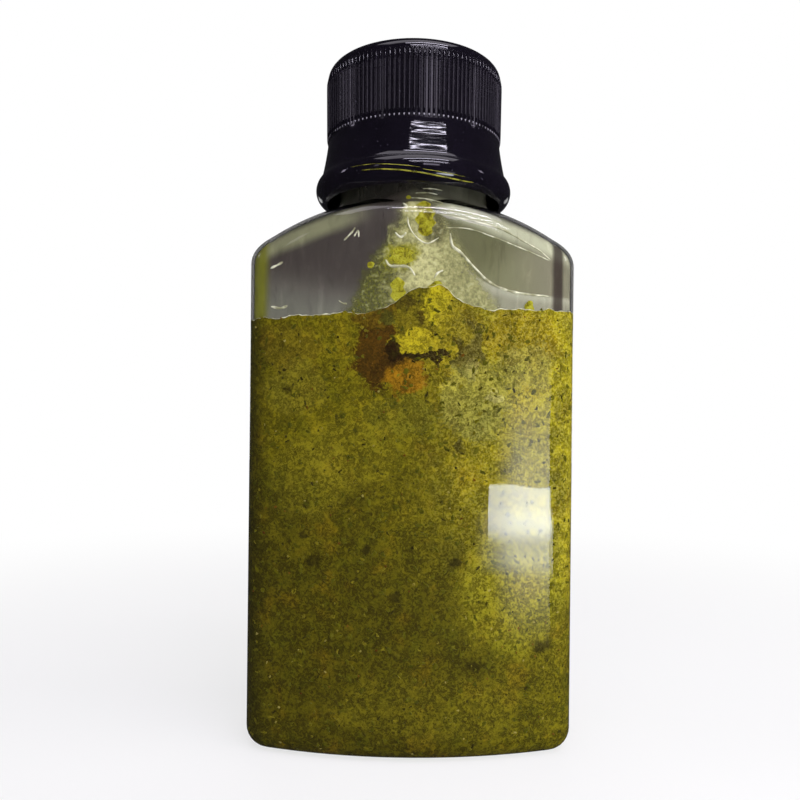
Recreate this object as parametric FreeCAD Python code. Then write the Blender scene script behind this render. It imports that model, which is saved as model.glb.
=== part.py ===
import FreeCAD
import Part
import math
import os

from FreeCAD import Vector

# A flat "book" shaped bottle of clear blown PET, filled with green herb paste and
# closed by a black screw cap whose ribbed drum runs out into a flared skirt.
# Three pieces: bottle, cap and paste. Millimetres, +Z up, the base on z = 0, the
# neck's axis on Z, the broad front face towards -Y.

# ---- body of the bottle -------------------------------------------------------
BODY_WIDTH = 74.0          # over the bowed sides
BODY_DEPTH = 42.0          # over the bowed front and back
FACE_BOW = 6.0             # how far the front stands out between its corners
SIDE_BOW = 0.8             # the same for the narrow sides
CORNER_RADIUS = 6.3        # upright corners, in plan
LEAST_CORNER_RADIUS = 1.0  # where a plan that is drawn in would lose its corners
BASE_EDGE_RADIUS = 4.9     # round between the walls and the base
SHOULDER_HEIGHT = 124.0    # top of the shoulder's arch above the base
ARCH_RADIUS = 62.0         # the shoulder's arch, seen from the front
ARCH_HALF_ANGLE = 75.0     # how far the arch is swept to each side, in degrees
CROWN_RADIUS = 130.0       # the shoulder's slight crown, seen from the side
SHOULDER_EDGE_RADIUS = 5.6  # round between the walls and the shoulder
BODY_WALL = 0.7            # blown wall

# ---- base of the bottle -------------------------------------------------------
BASE_WALL = 0.9            # the base is blown a little thicker than the walls
FOOT_LAND = 1.8            # width of the flat ring that the bottle stands on
FOOT_INNER_ROUND = 0.6     # round on that ring's inner edge
PUSH_UP = 2.4              # how far the base is pushed up inside that ring
PUSH_UP_RADIUS = 2.0       # round at the top of the pushed up part
GATE_RADIUS = 1.7          # the stub that the preform's gate leaves
GATE_HEIGHT = 0.5

# ---- neck of the bottle -------------------------------------------------------
PLAIN_NECK = 6.9           # from the top of the shoulder to the support ring
NECK_OUT = 0.8             # how far the plain neck stands out past the finish
NECK_WALL = 1.1            # its wall, where the blown part begins
NECK_ROOT_RADIUS = 1.6     # round between the neck and the shoulder
RING_OUT = 2.3             # support ring, hidden in the cap's skirt
RING_THICKNESS = 1.7
RING_CHAMFER = 0.5
FINISH_RADIUS = 17.9       # wall of the finish, between the threads
FINISH_WALL = 1.9
FINISH_HEIGHT = 22.4       # from the top of the support ring to the rim
RIM_ROUND = 0.45           # round on both edges of the sealing rim

# ---- screw cap ------------------------------------------------------------------
CAP_TOP_THICKNESS = 1.9
CAP_WALL = 1.3
CAP_DRAFT = 0.2            # the drum is this much slimmer at the ribs' foot
CAP_FOOT_ROOM = 0.8        # from the top of the shoulder to the skirt's foot
THREAD_ROOM = 1.5          # radial room between finish and cap, which the threads take
RING_ROOM = 0.45           # radial room between support ring and skirt
CAP_TOP_RADIUS = 2.8       # round at the edge of the cap's top
BEAD_HEIGHT = 6.0          # rolled lip at the skirt's foot
BEAD_RISE = 2.7            # height of the lip's widest point
BEAD_OUT = 1.3             # how far the lip stands out past the skirt
BEAD_FOOT_IN = 0.45        # how far the lip turns in again at its foot
FLARE_HEIGHT = 8.2         # the skirt between the lip and the ribs
FLARE_HOLLOW = 0.12        # how far the skirt's side is hollowed
RIB_COUNT = 120
RIB_HEIGHT = 0.3           # above the drum
RIB_SHARE = 0.6            # share of the pitch that a rib takes where it leaves the drum
RIB_REACH = 0.1            # how far the ribs run on into the round of the cap's top
RIB_RUN_OUT = 0.7          # length over which a rib's end fades into the wall
RIB_ROOTING = 0.25         # how deep a rib is rooted in the wall

# ---- paste ----------------------------------------------------------------------
PASTE_HEADROOM = 27.3      # from the top of the shoulder down to the paste's level
PASTE_TILT = 0.035         # the level climbs this much for each millimetre to +X
HEAP_HEIGHT = 6.5          # mound that a spoon left against the front wall
HEAP_SIDE = 3.5            # the mound's place to +X of the axis
HEAP_HALF_WIDTH = 8.0
HEAP_HALF_DEPTH = 11.0
HOLLOW_DEPTH = 3.0         # dip in the paste behind the mound
HOLLOW_BACK = 22.0         # from the mound's crest back to that dip
RIPPLE = 0.45              # waves that stay in the stiff paste
RIPPLE_LENGTH_X = 13.0
RIPPLE_LENGTH_Y = 16.25
RIPPLE_START = 0.6         # where the waves stand at the axis, in radians
SURFACE_STEPS_X = 16       # spans of the surface's net
SURFACE_STEPS_Y = 10

# ---- levels and radii that several pieces share ---------------------------------
NECK_RADIUS = FINISH_RADIUS + NECK_OUT
RING_RADIUS = FINISH_RADIUS + RING_OUT
BORE_RADIUS = FINISH_RADIUS - FINISH_WALL
RING_FOOT_Z = SHOULDER_HEIGHT + PLAIN_NECK
RING_TOP_Z = RING_FOOT_Z + RING_THICKNESS
RIM_Z = RING_TOP_Z + FINISH_HEIGHT
CAP_TOP_Z = RIM_Z + CAP_TOP_THICKNESS
CAP_FOOT_Z = SHOULDER_HEIGHT + CAP_FOOT_ROOM
BEAD_TOP_Z = CAP_FOOT_Z + BEAD_HEIGHT
RIB_FOOT_Z = BEAD_TOP_Z + FLARE_HEIGHT
RIB_TOP_Z = CAP_TOP_Z - CAP_TOP_RADIUS + RIB_REACH
CAP_BORE_RADIUS = FINISH_RADIUS + THREAD_ROOM
CAP_DRUM_RADIUS = CAP_BORE_RADIUS + CAP_WALL
WAIST_RADIUS = CAP_DRUM_RADIUS - CAP_DRAFT
SKIRT_BORE_RADIUS = RING_RADIUS + RING_ROOM
FLARE_RADIUS = SKIRT_BORE_RADIUS + CAP_WALL

# ---- modelling ------------------------------------------------------------------
AXIS = Vector(0, 0, 1)
OVERRUN = 5.0              # how far a cutting shape runs past what it cuts
SLACK = 1.0                # allowance where edges are picked by their height
TOUCH = 1e-3               # closer than this counts as the same place


def ring_point(radius, height):
    """A point of a profile that is turned about the neck's axis."""
    return Vector(radius, 0, height)


def line(start, end):
    return Part.LineSegment(start, end).toShape()


def arc(start, middle, end):
    return Part.Arc(start, middle, end).toShape()


def turned(edges):
    """The solid that a closed profile in the XZ plane sweeps about the neck's axis."""
    return Part.Face(Part.Wire(edges)).revolve(Vector(0, 0, 0), AXIS, 360)


def polyline(points):
    return [line(a, b) for a, b in zip(points, points[1:])]


def plan_prism(inset, bottom, top):
    """An upright prism on the bottle's bowed plan, drawn in by inset all round."""
    half_width = BODY_WIDTH / 2 - inset
    half_depth = BODY_DEPTH / 2 - inset
    corner_x = half_width - SIDE_BOW
    corner_y = half_depth - FACE_BOW
    corners = [
        Vector(-corner_x, -corner_y, bottom),
        Vector(corner_x, -corner_y, bottom),
        Vector(corner_x, corner_y, bottom),
        Vector(-corner_x, corner_y, bottom),
    ]
    crests = [
        Vector(0, -half_depth, bottom),
        Vector(half_width, 0, bottom),
        Vector(0, half_depth, bottom),
        Vector(-half_width, 0, bottom),
    ]
    sides = [arc(corners[i], crests[i], corners[(i + 1) % 4]) for i in range(4)]
    prism = Part.Face(Part.Wire(sides)).extrude(Vector(0, 0, top - bottom))
    uprights = [e for e in prism.Edges if e.Vertexes[0].Point.z != e.Vertexes[1].Point.z]
    return prism.makeFillet(max(CORNER_RADIUS - inset, LEAST_CORNER_RADIUS), uprights)


def shoulder_cutter(inset):
    """What lies above the shoulder: a crowned arch turned about a cross axis under it."""
    reach = BODY_DEPTH
    arch = ARCH_RADIUS - inset
    crown = CROWN_RADIUS - inset
    centre_z = SHOULDER_HEIGHT - ARCH_RADIUS
    drop = crown - math.sqrt(crown**2 - reach**2)
    far = centre_z + arch + BODY_WIDTH
    left = Vector(0, -reach, centre_z + arch - drop)
    right = Vector(0, reach, centre_z + arch - drop)
    crest = Vector(0, 0, centre_z + arch)
    edges = [arc(left, crest, right)]
    edges += polyline([right, Vector(0, reach, far), Vector(0, -reach, far), left])
    centre = Vector(0, 0, centre_z)
    cross_axis = Vector(0, 1, 0)
    section = Part.Face(Part.Wire(edges))
    section.rotate(centre, cross_axis, -ARCH_HALF_ANGLE)
    return section.revolve(centre, cross_axis, 2 * ARCH_HALF_ANGLE)


def edges_between(solid, low, high):
    """The edges that lie wholly between two heights."""
    return [e for e in solid.Edges if e.BoundBox.ZMin > low and e.BoundBox.ZMax < high]


def on_cylinder(edge, radius):
    """Whether an edge lies on the cylinder of that radius about the neck's axis."""
    length = edge.LastParameter - edge.FirstParameter
    points = [edge.valueAt(edge.FirstParameter + length * share) for share in (0, 0.5, 1)]
    return all(abs(math.hypot(p.x, p.y) - radius) < TOUCH for p in points)


def body_form(inset, floor):
    """The blown body as one full solid: the outside at inset 0, the inside at the wall."""
    high = SHOULDER_HEIGHT + OVERRUN
    form = plan_prism(inset, floor, high).cut(shoulder_cutter(inset))
    form = form.makeFillet(SHOULDER_EDGE_RADIUS - inset, edges_between(form, floor + SLACK, high))
    feet = edges_between(form, floor - SLACK, floor + SLACK)
    return form.makeFillet(BASE_EDGE_RADIUS - inset, feet)


def push_up(inset):
    """The part of the base that is pushed up, rounded at its top."""
    top = PUSH_UP + inset
    block = plan_prism(BASE_EDGE_RADIUS + FOOT_LAND - inset, -OVERRUN, top)
    return block.makeFillet(PUSH_UP_RADIUS, edges_between(block, top - TOUCH, top + TOUCH))


def neck_outside():
    """Neck, support ring and threaded finish, turned as one full solid."""
    start_z = SHOULDER_HEIGHT - ARCH_RADIUS / 4
    points = [
        ring_point(0, start_z),
        ring_point(NECK_RADIUS, start_z),
        ring_point(NECK_RADIUS, RING_FOOT_Z - RING_CHAMFER),
        ring_point(RING_RADIUS - RING_CHAMFER, RING_FOOT_Z),
        ring_point(RING_RADIUS, RING_FOOT_Z + RING_CHAMFER),
        ring_point(RING_RADIUS, RING_TOP_Z - RING_CHAMFER),
        ring_point(RING_RADIUS - RING_CHAMFER, RING_TOP_Z),
        ring_point(FINISH_RADIUS, RING_TOP_Z),
        ring_point(FINISH_RADIUS, RIM_Z),
        ring_point(0, RIM_Z),
        ring_point(0, start_z),
    ]
    return turned(polyline(points))


def neck_inside():
    """The bore, which widens below the support ring where the blown part begins."""
    start_z = SHOULDER_HEIGHT - ARCH_RADIUS / 4
    points = [
        ring_point(0, start_z),
        ring_point(NECK_RADIUS - NECK_WALL, start_z),
        ring_point(NECK_RADIUS - NECK_WALL, RING_FOOT_Z - 2 * NECK_WALL),
        ring_point(BORE_RADIUS, RING_FOOT_Z),
        ring_point(BORE_RADIUS, RIM_Z + OVERRUN),
        ring_point(0, RIM_Z + OVERRUN),
        ring_point(0, start_z),
    ]
    return turned(polyline(points))


def cavity():
    """All the space inside the bottle, from the base's inner face to the rim."""
    inside = body_form(BODY_WALL, BASE_WALL).cut(push_up(BASE_WALL))
    return inside.fuse(neck_inside()).removeSplitter()


def make_bottle(inside):
    """The blown shell: body, neck, base and the stub of the preform's gate."""
    outside = body_form(0, 0).fuse(neck_outside()).removeSplitter()
    low = SHOULDER_HEIGHT - NECK_RADIUS / 2
    near_root = edges_between(outside, low, SHOULDER_HEIGHT + SLACK)
    root = [e for e in near_root if on_cylinder(e, NECK_RADIUS)]
    outside = outside.makeFillet(NECK_ROOT_RADIUS, root).cut(push_up(0))
    half_land = BODY_DEPTH / 2 - BASE_EDGE_RADIUS - FOOT_LAND / 2
    feet = edges_between(outside, -TOUCH, TOUCH)
    inner_feet = [e for e in feet if e.BoundBox.YMin > -half_land and e.BoundBox.YMax < half_land]
    shell = outside.makeFillet(FOOT_INNER_ROUND, inner_feet).cut(inside)
    shell = shell.makeFillet(RIM_ROUND, edges_between(shell, RIM_Z - TOUCH, RIM_Z + TOUCH))
    gate_z = PUSH_UP - GATE_HEIGHT
    gate = Part.makeCylinder(GATE_RADIUS, GATE_HEIGHT + BASE_WALL / 2, Vector(0, 0, gate_z))
    return shell.fuse(gate).removeSplitter()


def cap_core():
    """The cap without its ribs: top, drum, flared skirt and rolled lip, turned in one."""
    foot = ring_point(FLARE_RADIUS - BEAD_FOOT_IN, CAP_FOOT_Z)
    lip = ring_point(FLARE_RADIUS + BEAD_OUT, CAP_FOOT_Z + BEAD_RISE)
    bead_top = ring_point(FLARE_RADIUS, BEAD_TOP_Z)
    hollow_radius = (WAIST_RADIUS + FLARE_RADIUS) / 2 - FLARE_HOLLOW
    hollow = ring_point(hollow_radius, BEAD_TOP_Z + FLARE_HEIGHT / 2)
    waist = ring_point(WAIST_RADIUS, RIB_FOOT_Z)
    drum_top_z = CAP_TOP_Z - CAP_TOP_RADIUS
    drum_top = ring_point(CAP_DRUM_RADIUS, drum_top_z)
    eighth = math.sin(math.radians(45)) * CAP_TOP_RADIUS
    round_middle = ring_point(CAP_DRUM_RADIUS - CAP_TOP_RADIUS + eighth, drum_top_z + eighth)
    round_end = ring_point(CAP_DRUM_RADIUS - CAP_TOP_RADIUS, CAP_TOP_Z)
    edges = [
        arc(foot, lip, bead_top),
        arc(bead_top, hollow, waist),
        line(waist, drum_top),
        arc(drum_top, round_middle, round_end),
    ]
    edges += polyline(
        [
            round_end,
            ring_point(0, CAP_TOP_Z),
            ring_point(0, RIM_Z),
            ring_point(CAP_BORE_RADIUS, RIM_Z),
            ring_point(CAP_BORE_RADIUS, RIB_FOOT_Z),
            ring_point(SKIRT_BORE_RADIUS, RING_TOP_Z),
            ring_point(SKIRT_BORE_RADIUS, CAP_FOOT_Z),
            foot,
        ]
    )
    return turned(edges)


def lobed_ring(drum_radius, height):
    """One closed wire round the drum: a rounded rib, then a valley, for every pitch."""
    crest = drum_radius + RIB_HEIGHT
    root = drum_radius - RIB_ROOTING
    pitch = 2 * math.pi / RIB_COUNT
    half_rib = pitch * RIB_SHARE / 2

    def at(radius, angle):
        return Vector(radius * math.cos(angle), radius * math.sin(angle), height)

    edges = []
    for i in range(RIB_COUNT):
        middle = i * pitch
        start = middle - half_rib
        end = middle + half_rib
        next_start = start + pitch
        edges.append(arc(at(drum_radius, start), at(crest, middle), at(drum_radius, end)))
        edges.append(line(at(drum_radius, end), at(root, end)))
        edges.append(line(at(root, end), at(root, next_start)))
        edges.append(line(at(root, next_start), at(drum_radius, next_start)))
    return Part.Wire(edges)


def cap_ribs():
    """All the ribs as one lobed ring, with run-outs at both ends of each rib."""
    low_wire = lobed_ring(WAIST_RADIUS, RIB_FOOT_Z)
    high_wire = lobed_ring(CAP_DRUM_RADIUS, RIB_TOP_Z)
    lobes = Part.makeLoft([low_wire, high_wire], True, True)
    envelope = turned(
        polyline(
            [
                ring_point(0, RIB_FOOT_Z),
                ring_point(WAIST_RADIUS - RIB_ROOTING, RIB_FOOT_Z),
                ring_point(WAIST_RADIUS + RIB_HEIGHT, RIB_FOOT_Z + RIB_RUN_OUT),
                ring_point(CAP_DRUM_RADIUS + RIB_HEIGHT, RIB_TOP_Z - RIB_RUN_OUT),
                ring_point(CAP_DRUM_RADIUS - RIB_ROOTING, RIB_TOP_Z),
                ring_point(0, RIB_TOP_Z),
                ring_point(0, RIB_FOOT_Z),
            ]
        )
    )
    room_height = CAP_TOP_Z - CAP_FOOT_Z
    room = Part.makeCylinder(WAIST_RADIUS - CAP_WALL / 2, room_height, Vector(0, 0, CAP_FOOT_Z))
    return lobes.common(envelope).cut(room)


def make_cap():
    return cap_core().fuse(cap_ribs()).removeSplitter()


def paste_height(x, y):
    """Height of the paste's top: a tilted level, a mound at the front and spoon waves."""
    level = SHOULDER_HEIGHT - PASTE_HEADROOM + PASTE_TILT * x
    heap_y = -BODY_DEPTH / 2
    along = (x - HEAP_SIDE) / HEAP_HALF_WIDTH
    across = (y - heap_y) / HEAP_HALF_DEPTH
    behind = (y - heap_y - HOLLOW_BACK) / HEAP_HALF_DEPTH
    heap = HEAP_HEIGHT * math.exp(-(along**2) - across**2)
    hollow = HOLLOW_DEPTH * math.exp(-(along**2) / 2 - behind**2)
    turn_x = 2 * math.pi * x / RIPPLE_LENGTH_X + RIPPLE_START
    turn_y = 2 * math.pi * y / RIPPLE_LENGTH_Y
    return level + heap - hollow + RIPPLE * math.sin(turn_x) * math.cos(turn_y)


def make_paste(inside):
    """What fills the bottle, up to a surface laid over a net of heights."""
    reach_x = BODY_WIDTH / 2 + OVERRUN
    reach_y = BODY_DEPTH / 2 + OVERRUN
    net = []
    for i in range(SURFACE_STEPS_X + 1):
        x = -reach_x + 2 * reach_x * i / SURFACE_STEPS_X
        rows = [-reach_y + 2 * reach_y * j / SURFACE_STEPS_Y for j in range(SURFACE_STEPS_Y + 1)]
        net.append([Vector(x, y, paste_height(x, y)) for y in rows])
    surface = Part.BSplineSurface()
    surface.interpolate(net)
    below = surface.toShape().extrude(Vector(0, 0, -SHOULDER_HEIGHT - OVERRUN))
    return inside.common(below)


def solid_of(shape):
    """The one solid of a finished piece."""
    solids = shape.Solids
    if len(solids) != 1:
        raise RuntimeError(f"expected one solid, found {len(solids)}")
    return solids[0]


def main():
    os.makedirs("parts", exist_ok=True)
    inside = cavity()
    pieces = {
        "bottle": make_bottle(inside),
        "cap": make_cap(),
        "paste": make_paste(inside),
    }
    for name, shape in pieces.items():
        solid = solid_of(shape)
        solid.exportStep(f"parts/{name}.step")
        box = solid.BoundBox
        print(
            name,
            "valid", solid.isValid(),
            "faces", len(solid.Faces),
            "volume", round(solid.Volume / 1000, 2), "ml",
            "z", round(box.ZMin, 2), round(box.ZMax, 2),
        )


main()
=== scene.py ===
import math

import bpy
import numpy as np
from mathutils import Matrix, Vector


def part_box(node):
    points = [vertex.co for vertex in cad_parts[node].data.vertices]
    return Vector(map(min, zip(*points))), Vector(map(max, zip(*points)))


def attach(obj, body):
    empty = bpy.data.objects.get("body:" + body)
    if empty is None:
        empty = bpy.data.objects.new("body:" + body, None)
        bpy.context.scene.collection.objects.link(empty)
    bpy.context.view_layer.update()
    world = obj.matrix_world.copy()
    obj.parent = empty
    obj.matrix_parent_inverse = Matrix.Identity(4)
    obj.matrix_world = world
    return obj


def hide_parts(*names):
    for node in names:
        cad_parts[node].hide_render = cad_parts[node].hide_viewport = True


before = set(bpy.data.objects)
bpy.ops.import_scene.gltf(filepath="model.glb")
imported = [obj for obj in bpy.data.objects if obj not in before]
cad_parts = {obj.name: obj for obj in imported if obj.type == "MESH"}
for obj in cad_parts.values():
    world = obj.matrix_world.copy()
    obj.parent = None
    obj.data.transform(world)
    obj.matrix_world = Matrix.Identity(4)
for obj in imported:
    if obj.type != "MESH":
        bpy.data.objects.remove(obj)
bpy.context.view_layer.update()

# --- bottle -----------------------------------------------------------------------
# The bottle is blown from a clear PET preform: a flat body on a bowed plan, a sloping
# shoulder, a short neck with its support ring and a plain finish. Its wall is 0.7 mm.
# It is skinned here in one even net of faces, because clear walls show every facet.
MM = 0.001

bottle_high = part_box("bottle")[1]
HALF_WIDTH = bottle_high.x / MM
HALF_DEPTH = bottle_high.y / MM
RIM_Z = bottle_high.z / MM
FACE_BOW = 6.0
SIDE_BOW = 0.8
CORNER_RADIUS = 6.3
BASE_EDGE_RADIUS = 4.9
NECK_HEIGHT = 31.0
ARCH_RADIUS = 62.0
CROWN_RADIUS = 130.0
SHOULDER_EDGE_RADIUS = 5.6
WALL = 0.7
BASE_WALL = 0.9
FOOT_LAND = 1.8
FOOT_INNER_ROUND = 0.6
PUSH_UP = 2.4
PUSH_UP_RADIUS = 2.0
GATE_RADIUS = 1.7
GATE_HEIGHT = 0.5
GATE_EDGE = 0.15
NECK_RADIUS = 18.7
NECK_WALL = 1.1
NECK_ROOT_RADIUS = 1.6
FINISH_RADIUS = 17.9
FINISH_HEIGHT = 22.4
BORE_RADIUS = 16.0
RING_RADIUS = 20.2
RING_THICKNESS = 1.7
RING_CHAMFER = 0.5
RIM_ROUND = 0.45

# The net's rows lie level up to FAN_Z, and fan out from the axis over the shoulder.
COLUMNS = 288
WALL_ROWS = 15
SHOULDER_ROWS = 49
FAN_Z = 100.0
NECK_ROOT_RISE = 2.5
FAR_OUT = 60.0

SHOULDER_Z = RIM_Z - NECK_HEIGHT
ARCH_CENTRE_Z = SHOULDER_Z - ARCH_RADIUS
RING_TOP_Z = RIM_Z - FINISH_HEIGHT
RING_FOOT_Z = RING_TOP_Z - RING_THICKNESS
FACE_HALF = HALF_WIDTH - SIDE_BOW
SIDE_HALF = HALF_DEPTH - FACE_BOW
FACE_RADIUS = (FACE_HALF**2 + FACE_BOW**2) / (2 * FACE_BOW)
SIDE_RADIUS = (SIDE_HALF**2 + SIDE_BOW**2) / (2 * SIDE_BOW)
FAN_TOP_ANGLE = math.atan2(SHOULDER_Z + NECK_ROOT_RISE - FAN_Z, NECK_RADIUS)


def rounded_corner(a, b, cos_between, radius):
    """Distance to two walls that meet in a round, from the distances to each wall."""
    u = a + radius
    v = b + radius
    sin_squared = np.maximum(1 - cos_between**2, 1e-6)
    to_edge = np.sqrt(np.maximum(u * u + v * v - 2 * u * v * cos_between, 0) / sin_squared)
    at_edge = (u > v * cos_between) & (v > u * cos_between)
    return np.where(at_edge, to_edge, np.maximum(u, v)) - radius


def plan_distance(x, y):
    """Distance outwards from the bottle's bowed plan."""
    x = np.abs(x)
    y = np.abs(y)
    face_y = y + FACE_RADIUS - HALF_DEPTH
    side_x = x + SIDE_RADIUS - HALF_WIDTH
    face = np.hypot(x, face_y)
    side = np.hypot(side_x, y)
    cos_between = (x * side_x + face_y * y) / (face * side)
    return rounded_corner(face - FACE_RADIUS, side - SIDE_RADIUS, cos_between, CORNER_RADIUS)


def body_distance(x, y, z, inset):
    """Distance outwards from the body, walls and shoulder, drawn in by inset."""
    step = 0.05
    normal_x = (plan_distance(x + step, y) - plan_distance(x - step, y)) / (2 * step)
    normal_y = (plan_distance(x, y + step) - plan_distance(x, y - step)) / (2 * step)
    crown_drop = CROWN_RADIUS - np.sqrt(CROWN_RADIUS**2 - y**2)
    out = np.hypot(x, z - ARCH_CENTRE_Z)
    shoulder = out - (ARCH_RADIUS - crown_drop) + inset
    cos_between = normal_x * x / out + normal_y * y / CROWN_RADIUS
    plan = plan_distance(x, y) + inset
    return rounded_corner(plan, shoulder, cos_between, SHOULDER_EDGE_RADIUS - inset)


def blown_distance(x, y, z, inset, neck_radius):
    """Distance outwards from body and neck, with the round at the neck's root."""
    out = np.hypot(x, z - ARCH_CENTRE_Z)
    radius = np.hypot(x, y) + 1e-9
    cos_between = (x * x / out + y * y / CROWN_RADIUS) / radius
    body = body_distance(x, y, z, inset)
    neck = radius - neck_radius
    return -rounded_corner(-body, -neck, cos_between, NECK_ROOT_RADIUS)


def first_crossing(distance, count):
    """How far along each of some rays the distance turns positive, by halving."""
    low = np.zeros(count)
    high = np.full(count, FAR_OUT)
    for _ in range(36):
        middle = (low + high) / 2
        inside = distance(middle) < 0
        low = np.where(inside, middle, low)
        high = np.where(inside, high, middle)
    return (low + high) / 2


def plan_ring(angles, inset):
    """Points of the plan drawn in by inset, one for each angle."""
    cos = np.cos(angles)
    sin = np.sin(angles)
    along = first_crossing(lambda s: plan_distance(s * cos, s * sin) + inset, len(angles))
    return along * cos, along * sin


def column_angles(count):
    """Angles round the axis, closer together where the plan turns."""
    even = np.linspace(0, 2 * math.pi, 4001)
    x, y = plan_ring(even, 0.0)
    dx = np.diff(x)
    dy = np.diff(y)
    heading = np.unwrap(np.arctan2(dy, dx))
    turn = np.abs(np.diff(heading, append=heading[-1]))
    bend_share = 6.0
    walked = np.concatenate([[0], np.cumsum(np.hypot(dx, dy) + bend_share * turn)])
    return np.interp(np.arange(count) * walked[-1] / count, walked, even)


ANGLES = column_angles(COLUMNS)


def ring_at(x, y, z):
    return np.stack([x, y, np.broadcast_to(z, x.shape)], axis=1)


def round_ring(radius, z):
    """A round ring, with its points at the same angles as every other ring."""
    return ring_at(radius * np.cos(ANGLES), radius * np.sin(ANGLES), z)


def wall_ring(inset, z):
    x, y = plan_ring(ANGLES, inset)
    return ring_at(x, y, z)


def fan_ring(tilt, inset, neck_radius):
    """A ring of the shoulder, where rays from the axis at one tilt leave the form."""
    cos_tilt = math.cos(tilt)
    sin_tilt = math.sin(tilt)

    def distance(s):
        x = s * cos_tilt * np.cos(ANGLES)
        y = s * cos_tilt * np.sin(ANGLES)
        return blown_distance(x, y, FAN_Z + s * sin_tilt, inset, neck_radius)

    along = first_crossing(distance, COLUMNS)
    flat = along * cos_tilt
    return ring_at(flat * np.cos(ANGLES), flat * np.sin(ANGLES), FAN_Z + along * sin_tilt)


def quarter(count):
    """Angles of a quarter turn, both ends included."""
    return [math.pi / 2 * i / count for i in range(count + 1)]


def net(rings, first_point=None, last_point=None, wrapped=False):
    """Points and faces over a list of rings. A point closes an end; wrapped joins the ends."""
    columns = len(rings[0])
    rows = len(rings)
    points = [np.asarray(rings).reshape(-1, 3)]
    faces = []
    for row in range(rows if wrapped else rows - 1):
        a = row * columns
        b = (row + 1) % rows * columns
        for column in range(columns):
            following = (column + 1) % columns
            faces.append((a + column, a + following, b + following, b + column))
    total = rows * columns
    if first_point is not None:
        points.append(np.array([first_point], float))
        faces += [(total, (c + 1) % columns, c) for c in range(columns)]
        total += 1
    if last_point is not None:
        points.append(np.array([last_point], float))
        start = (rows - 1) * columns
        faces += [(total, start + c, start + (c + 1) % columns) for c in range(columns)]
    return np.concatenate(points), faces


def placed(name, data):
    """A new object of the scene."""
    made = bpy.data.objects.new(name, data)
    bpy.context.scene.collection.objects.link(made)
    return made


def modelled(name, nets, sharp_angle=35):
    """One smooth-shaded mesh object out of several nets, from millimetres to metres."""
    points = []
    faces = []
    for net_points, net_faces in nets:
        start = sum(len(p) for p in points)
        points.append(net_points)
        faces += [tuple(start + corner for corner in face) for face in net_faces]
    mesh = bpy.data.meshes.new(name)
    mesh.from_pydata((np.concatenate(points) * MM).tolist(), [], faces)
    mesh.polygons.foreach_set("use_smooth", [True] * len(mesh.polygons))
    mesh.set_sharp_from_angle(angle=math.radians(sharp_angle))
    mesh.update()
    return placed(name, mesh)


def outside_rings():
    """Rings of the bottle's outside, from the gate under the base up to the rim."""
    recess = BASE_EDGE_RADIUS + FOOT_LAND
    gate_z = PUSH_UP - GATE_HEIGHT
    rings = [round_ring(GATE_RADIUS * share, gate_z) for share in (0.5, 0.85)]
    rings += [round_ring(GATE_RADIUS, gate_z + GATE_EDGE), round_ring(GATE_RADIUS, PUSH_UP)]
    top_x, top_y = plan_ring(ANGLES, recess + PUSH_UP_RADIUS)
    for share in (0.35, 0.6, 0.8):
        rings.append(ring_at(top_x * share, top_y * share, PUSH_UP))
    for turn in quarter(5):
        inset = recess + PUSH_UP_RADIUS * (1 - math.sin(turn))
        rings.append(wall_ring(inset, PUSH_UP - PUSH_UP_RADIUS * (1 - math.cos(turn))))
    for turn in quarter(3):
        inset = recess - FOOT_INNER_ROUND * (1 - math.cos(turn))
        rings.append(wall_ring(inset, FOOT_INNER_ROUND * (1 - math.sin(turn))))
    for turn in quarter(8):
        inset = BASE_EDGE_RADIUS * (1 - math.sin(turn))
        rings.append(wall_ring(inset, BASE_EDGE_RADIUS * (1 - math.cos(turn))))
    for z in np.linspace(BASE_EDGE_RADIUS, FAN_Z, WALL_ROWS)[1:]:
        rings.append(wall_ring(0.0, z))
    for tilt in np.linspace(0, FAN_TOP_ANGLE, SHOULDER_ROWS)[1:]:
        rings.append(fan_ring(tilt, 0.0, NECK_RADIUS))
    rings += [
        round_ring(NECK_RADIUS, RING_FOOT_Z - RING_CHAMFER),
        round_ring(RING_RADIUS - RING_CHAMFER, RING_FOOT_Z),
        round_ring(RING_RADIUS, RING_FOOT_Z + RING_CHAMFER),
        round_ring(RING_RADIUS, RING_TOP_Z - RING_CHAMFER),
        round_ring(RING_RADIUS - RING_CHAMFER, RING_TOP_Z),
        round_ring(FINISH_RADIUS, RING_TOP_Z),
    ]
    for turn in quarter(3):
        radius = FINISH_RADIUS - RIM_ROUND * (1 - math.cos(turn))
        rings.append(round_ring(radius, RIM_Z - RIM_ROUND * (1 - math.sin(turn))))
    return rings


def inside_rings(inset, floor):
    """Rings of the inside from the shoulder's foot down to the base, drawn in by inset."""
    recess = BASE_EDGE_RADIUS + FOOT_LAND - floor
    edge = BASE_EDGE_RADIUS - inset
    rings = []
    for z in np.linspace(FAN_Z, floor + edge, WALL_ROWS)[1:-1]:
        rings.append(wall_ring(inset, z))
    for turn in quarter(8):
        drawn_in = inset + edge * (1 - math.cos(turn))
        rings.append(wall_ring(drawn_in, floor + edge * (1 - math.sin(turn))))
    rings.append(wall_ring(recess, floor))
    for turn in quarter(5):
        rise = PUSH_UP + floor - PUSH_UP_RADIUS * (1 - math.sin(turn))
        rings.append(wall_ring(recess + PUSH_UP_RADIUS * (1 - math.cos(turn)), rise))
    top_x, top_y = plan_ring(ANGLES, recess + PUSH_UP_RADIUS)
    for share in (0.75, 0.5, 0.25):
        rings.append(ring_at(top_x * share, top_y * share, PUSH_UP + floor))
    return rings


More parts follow.
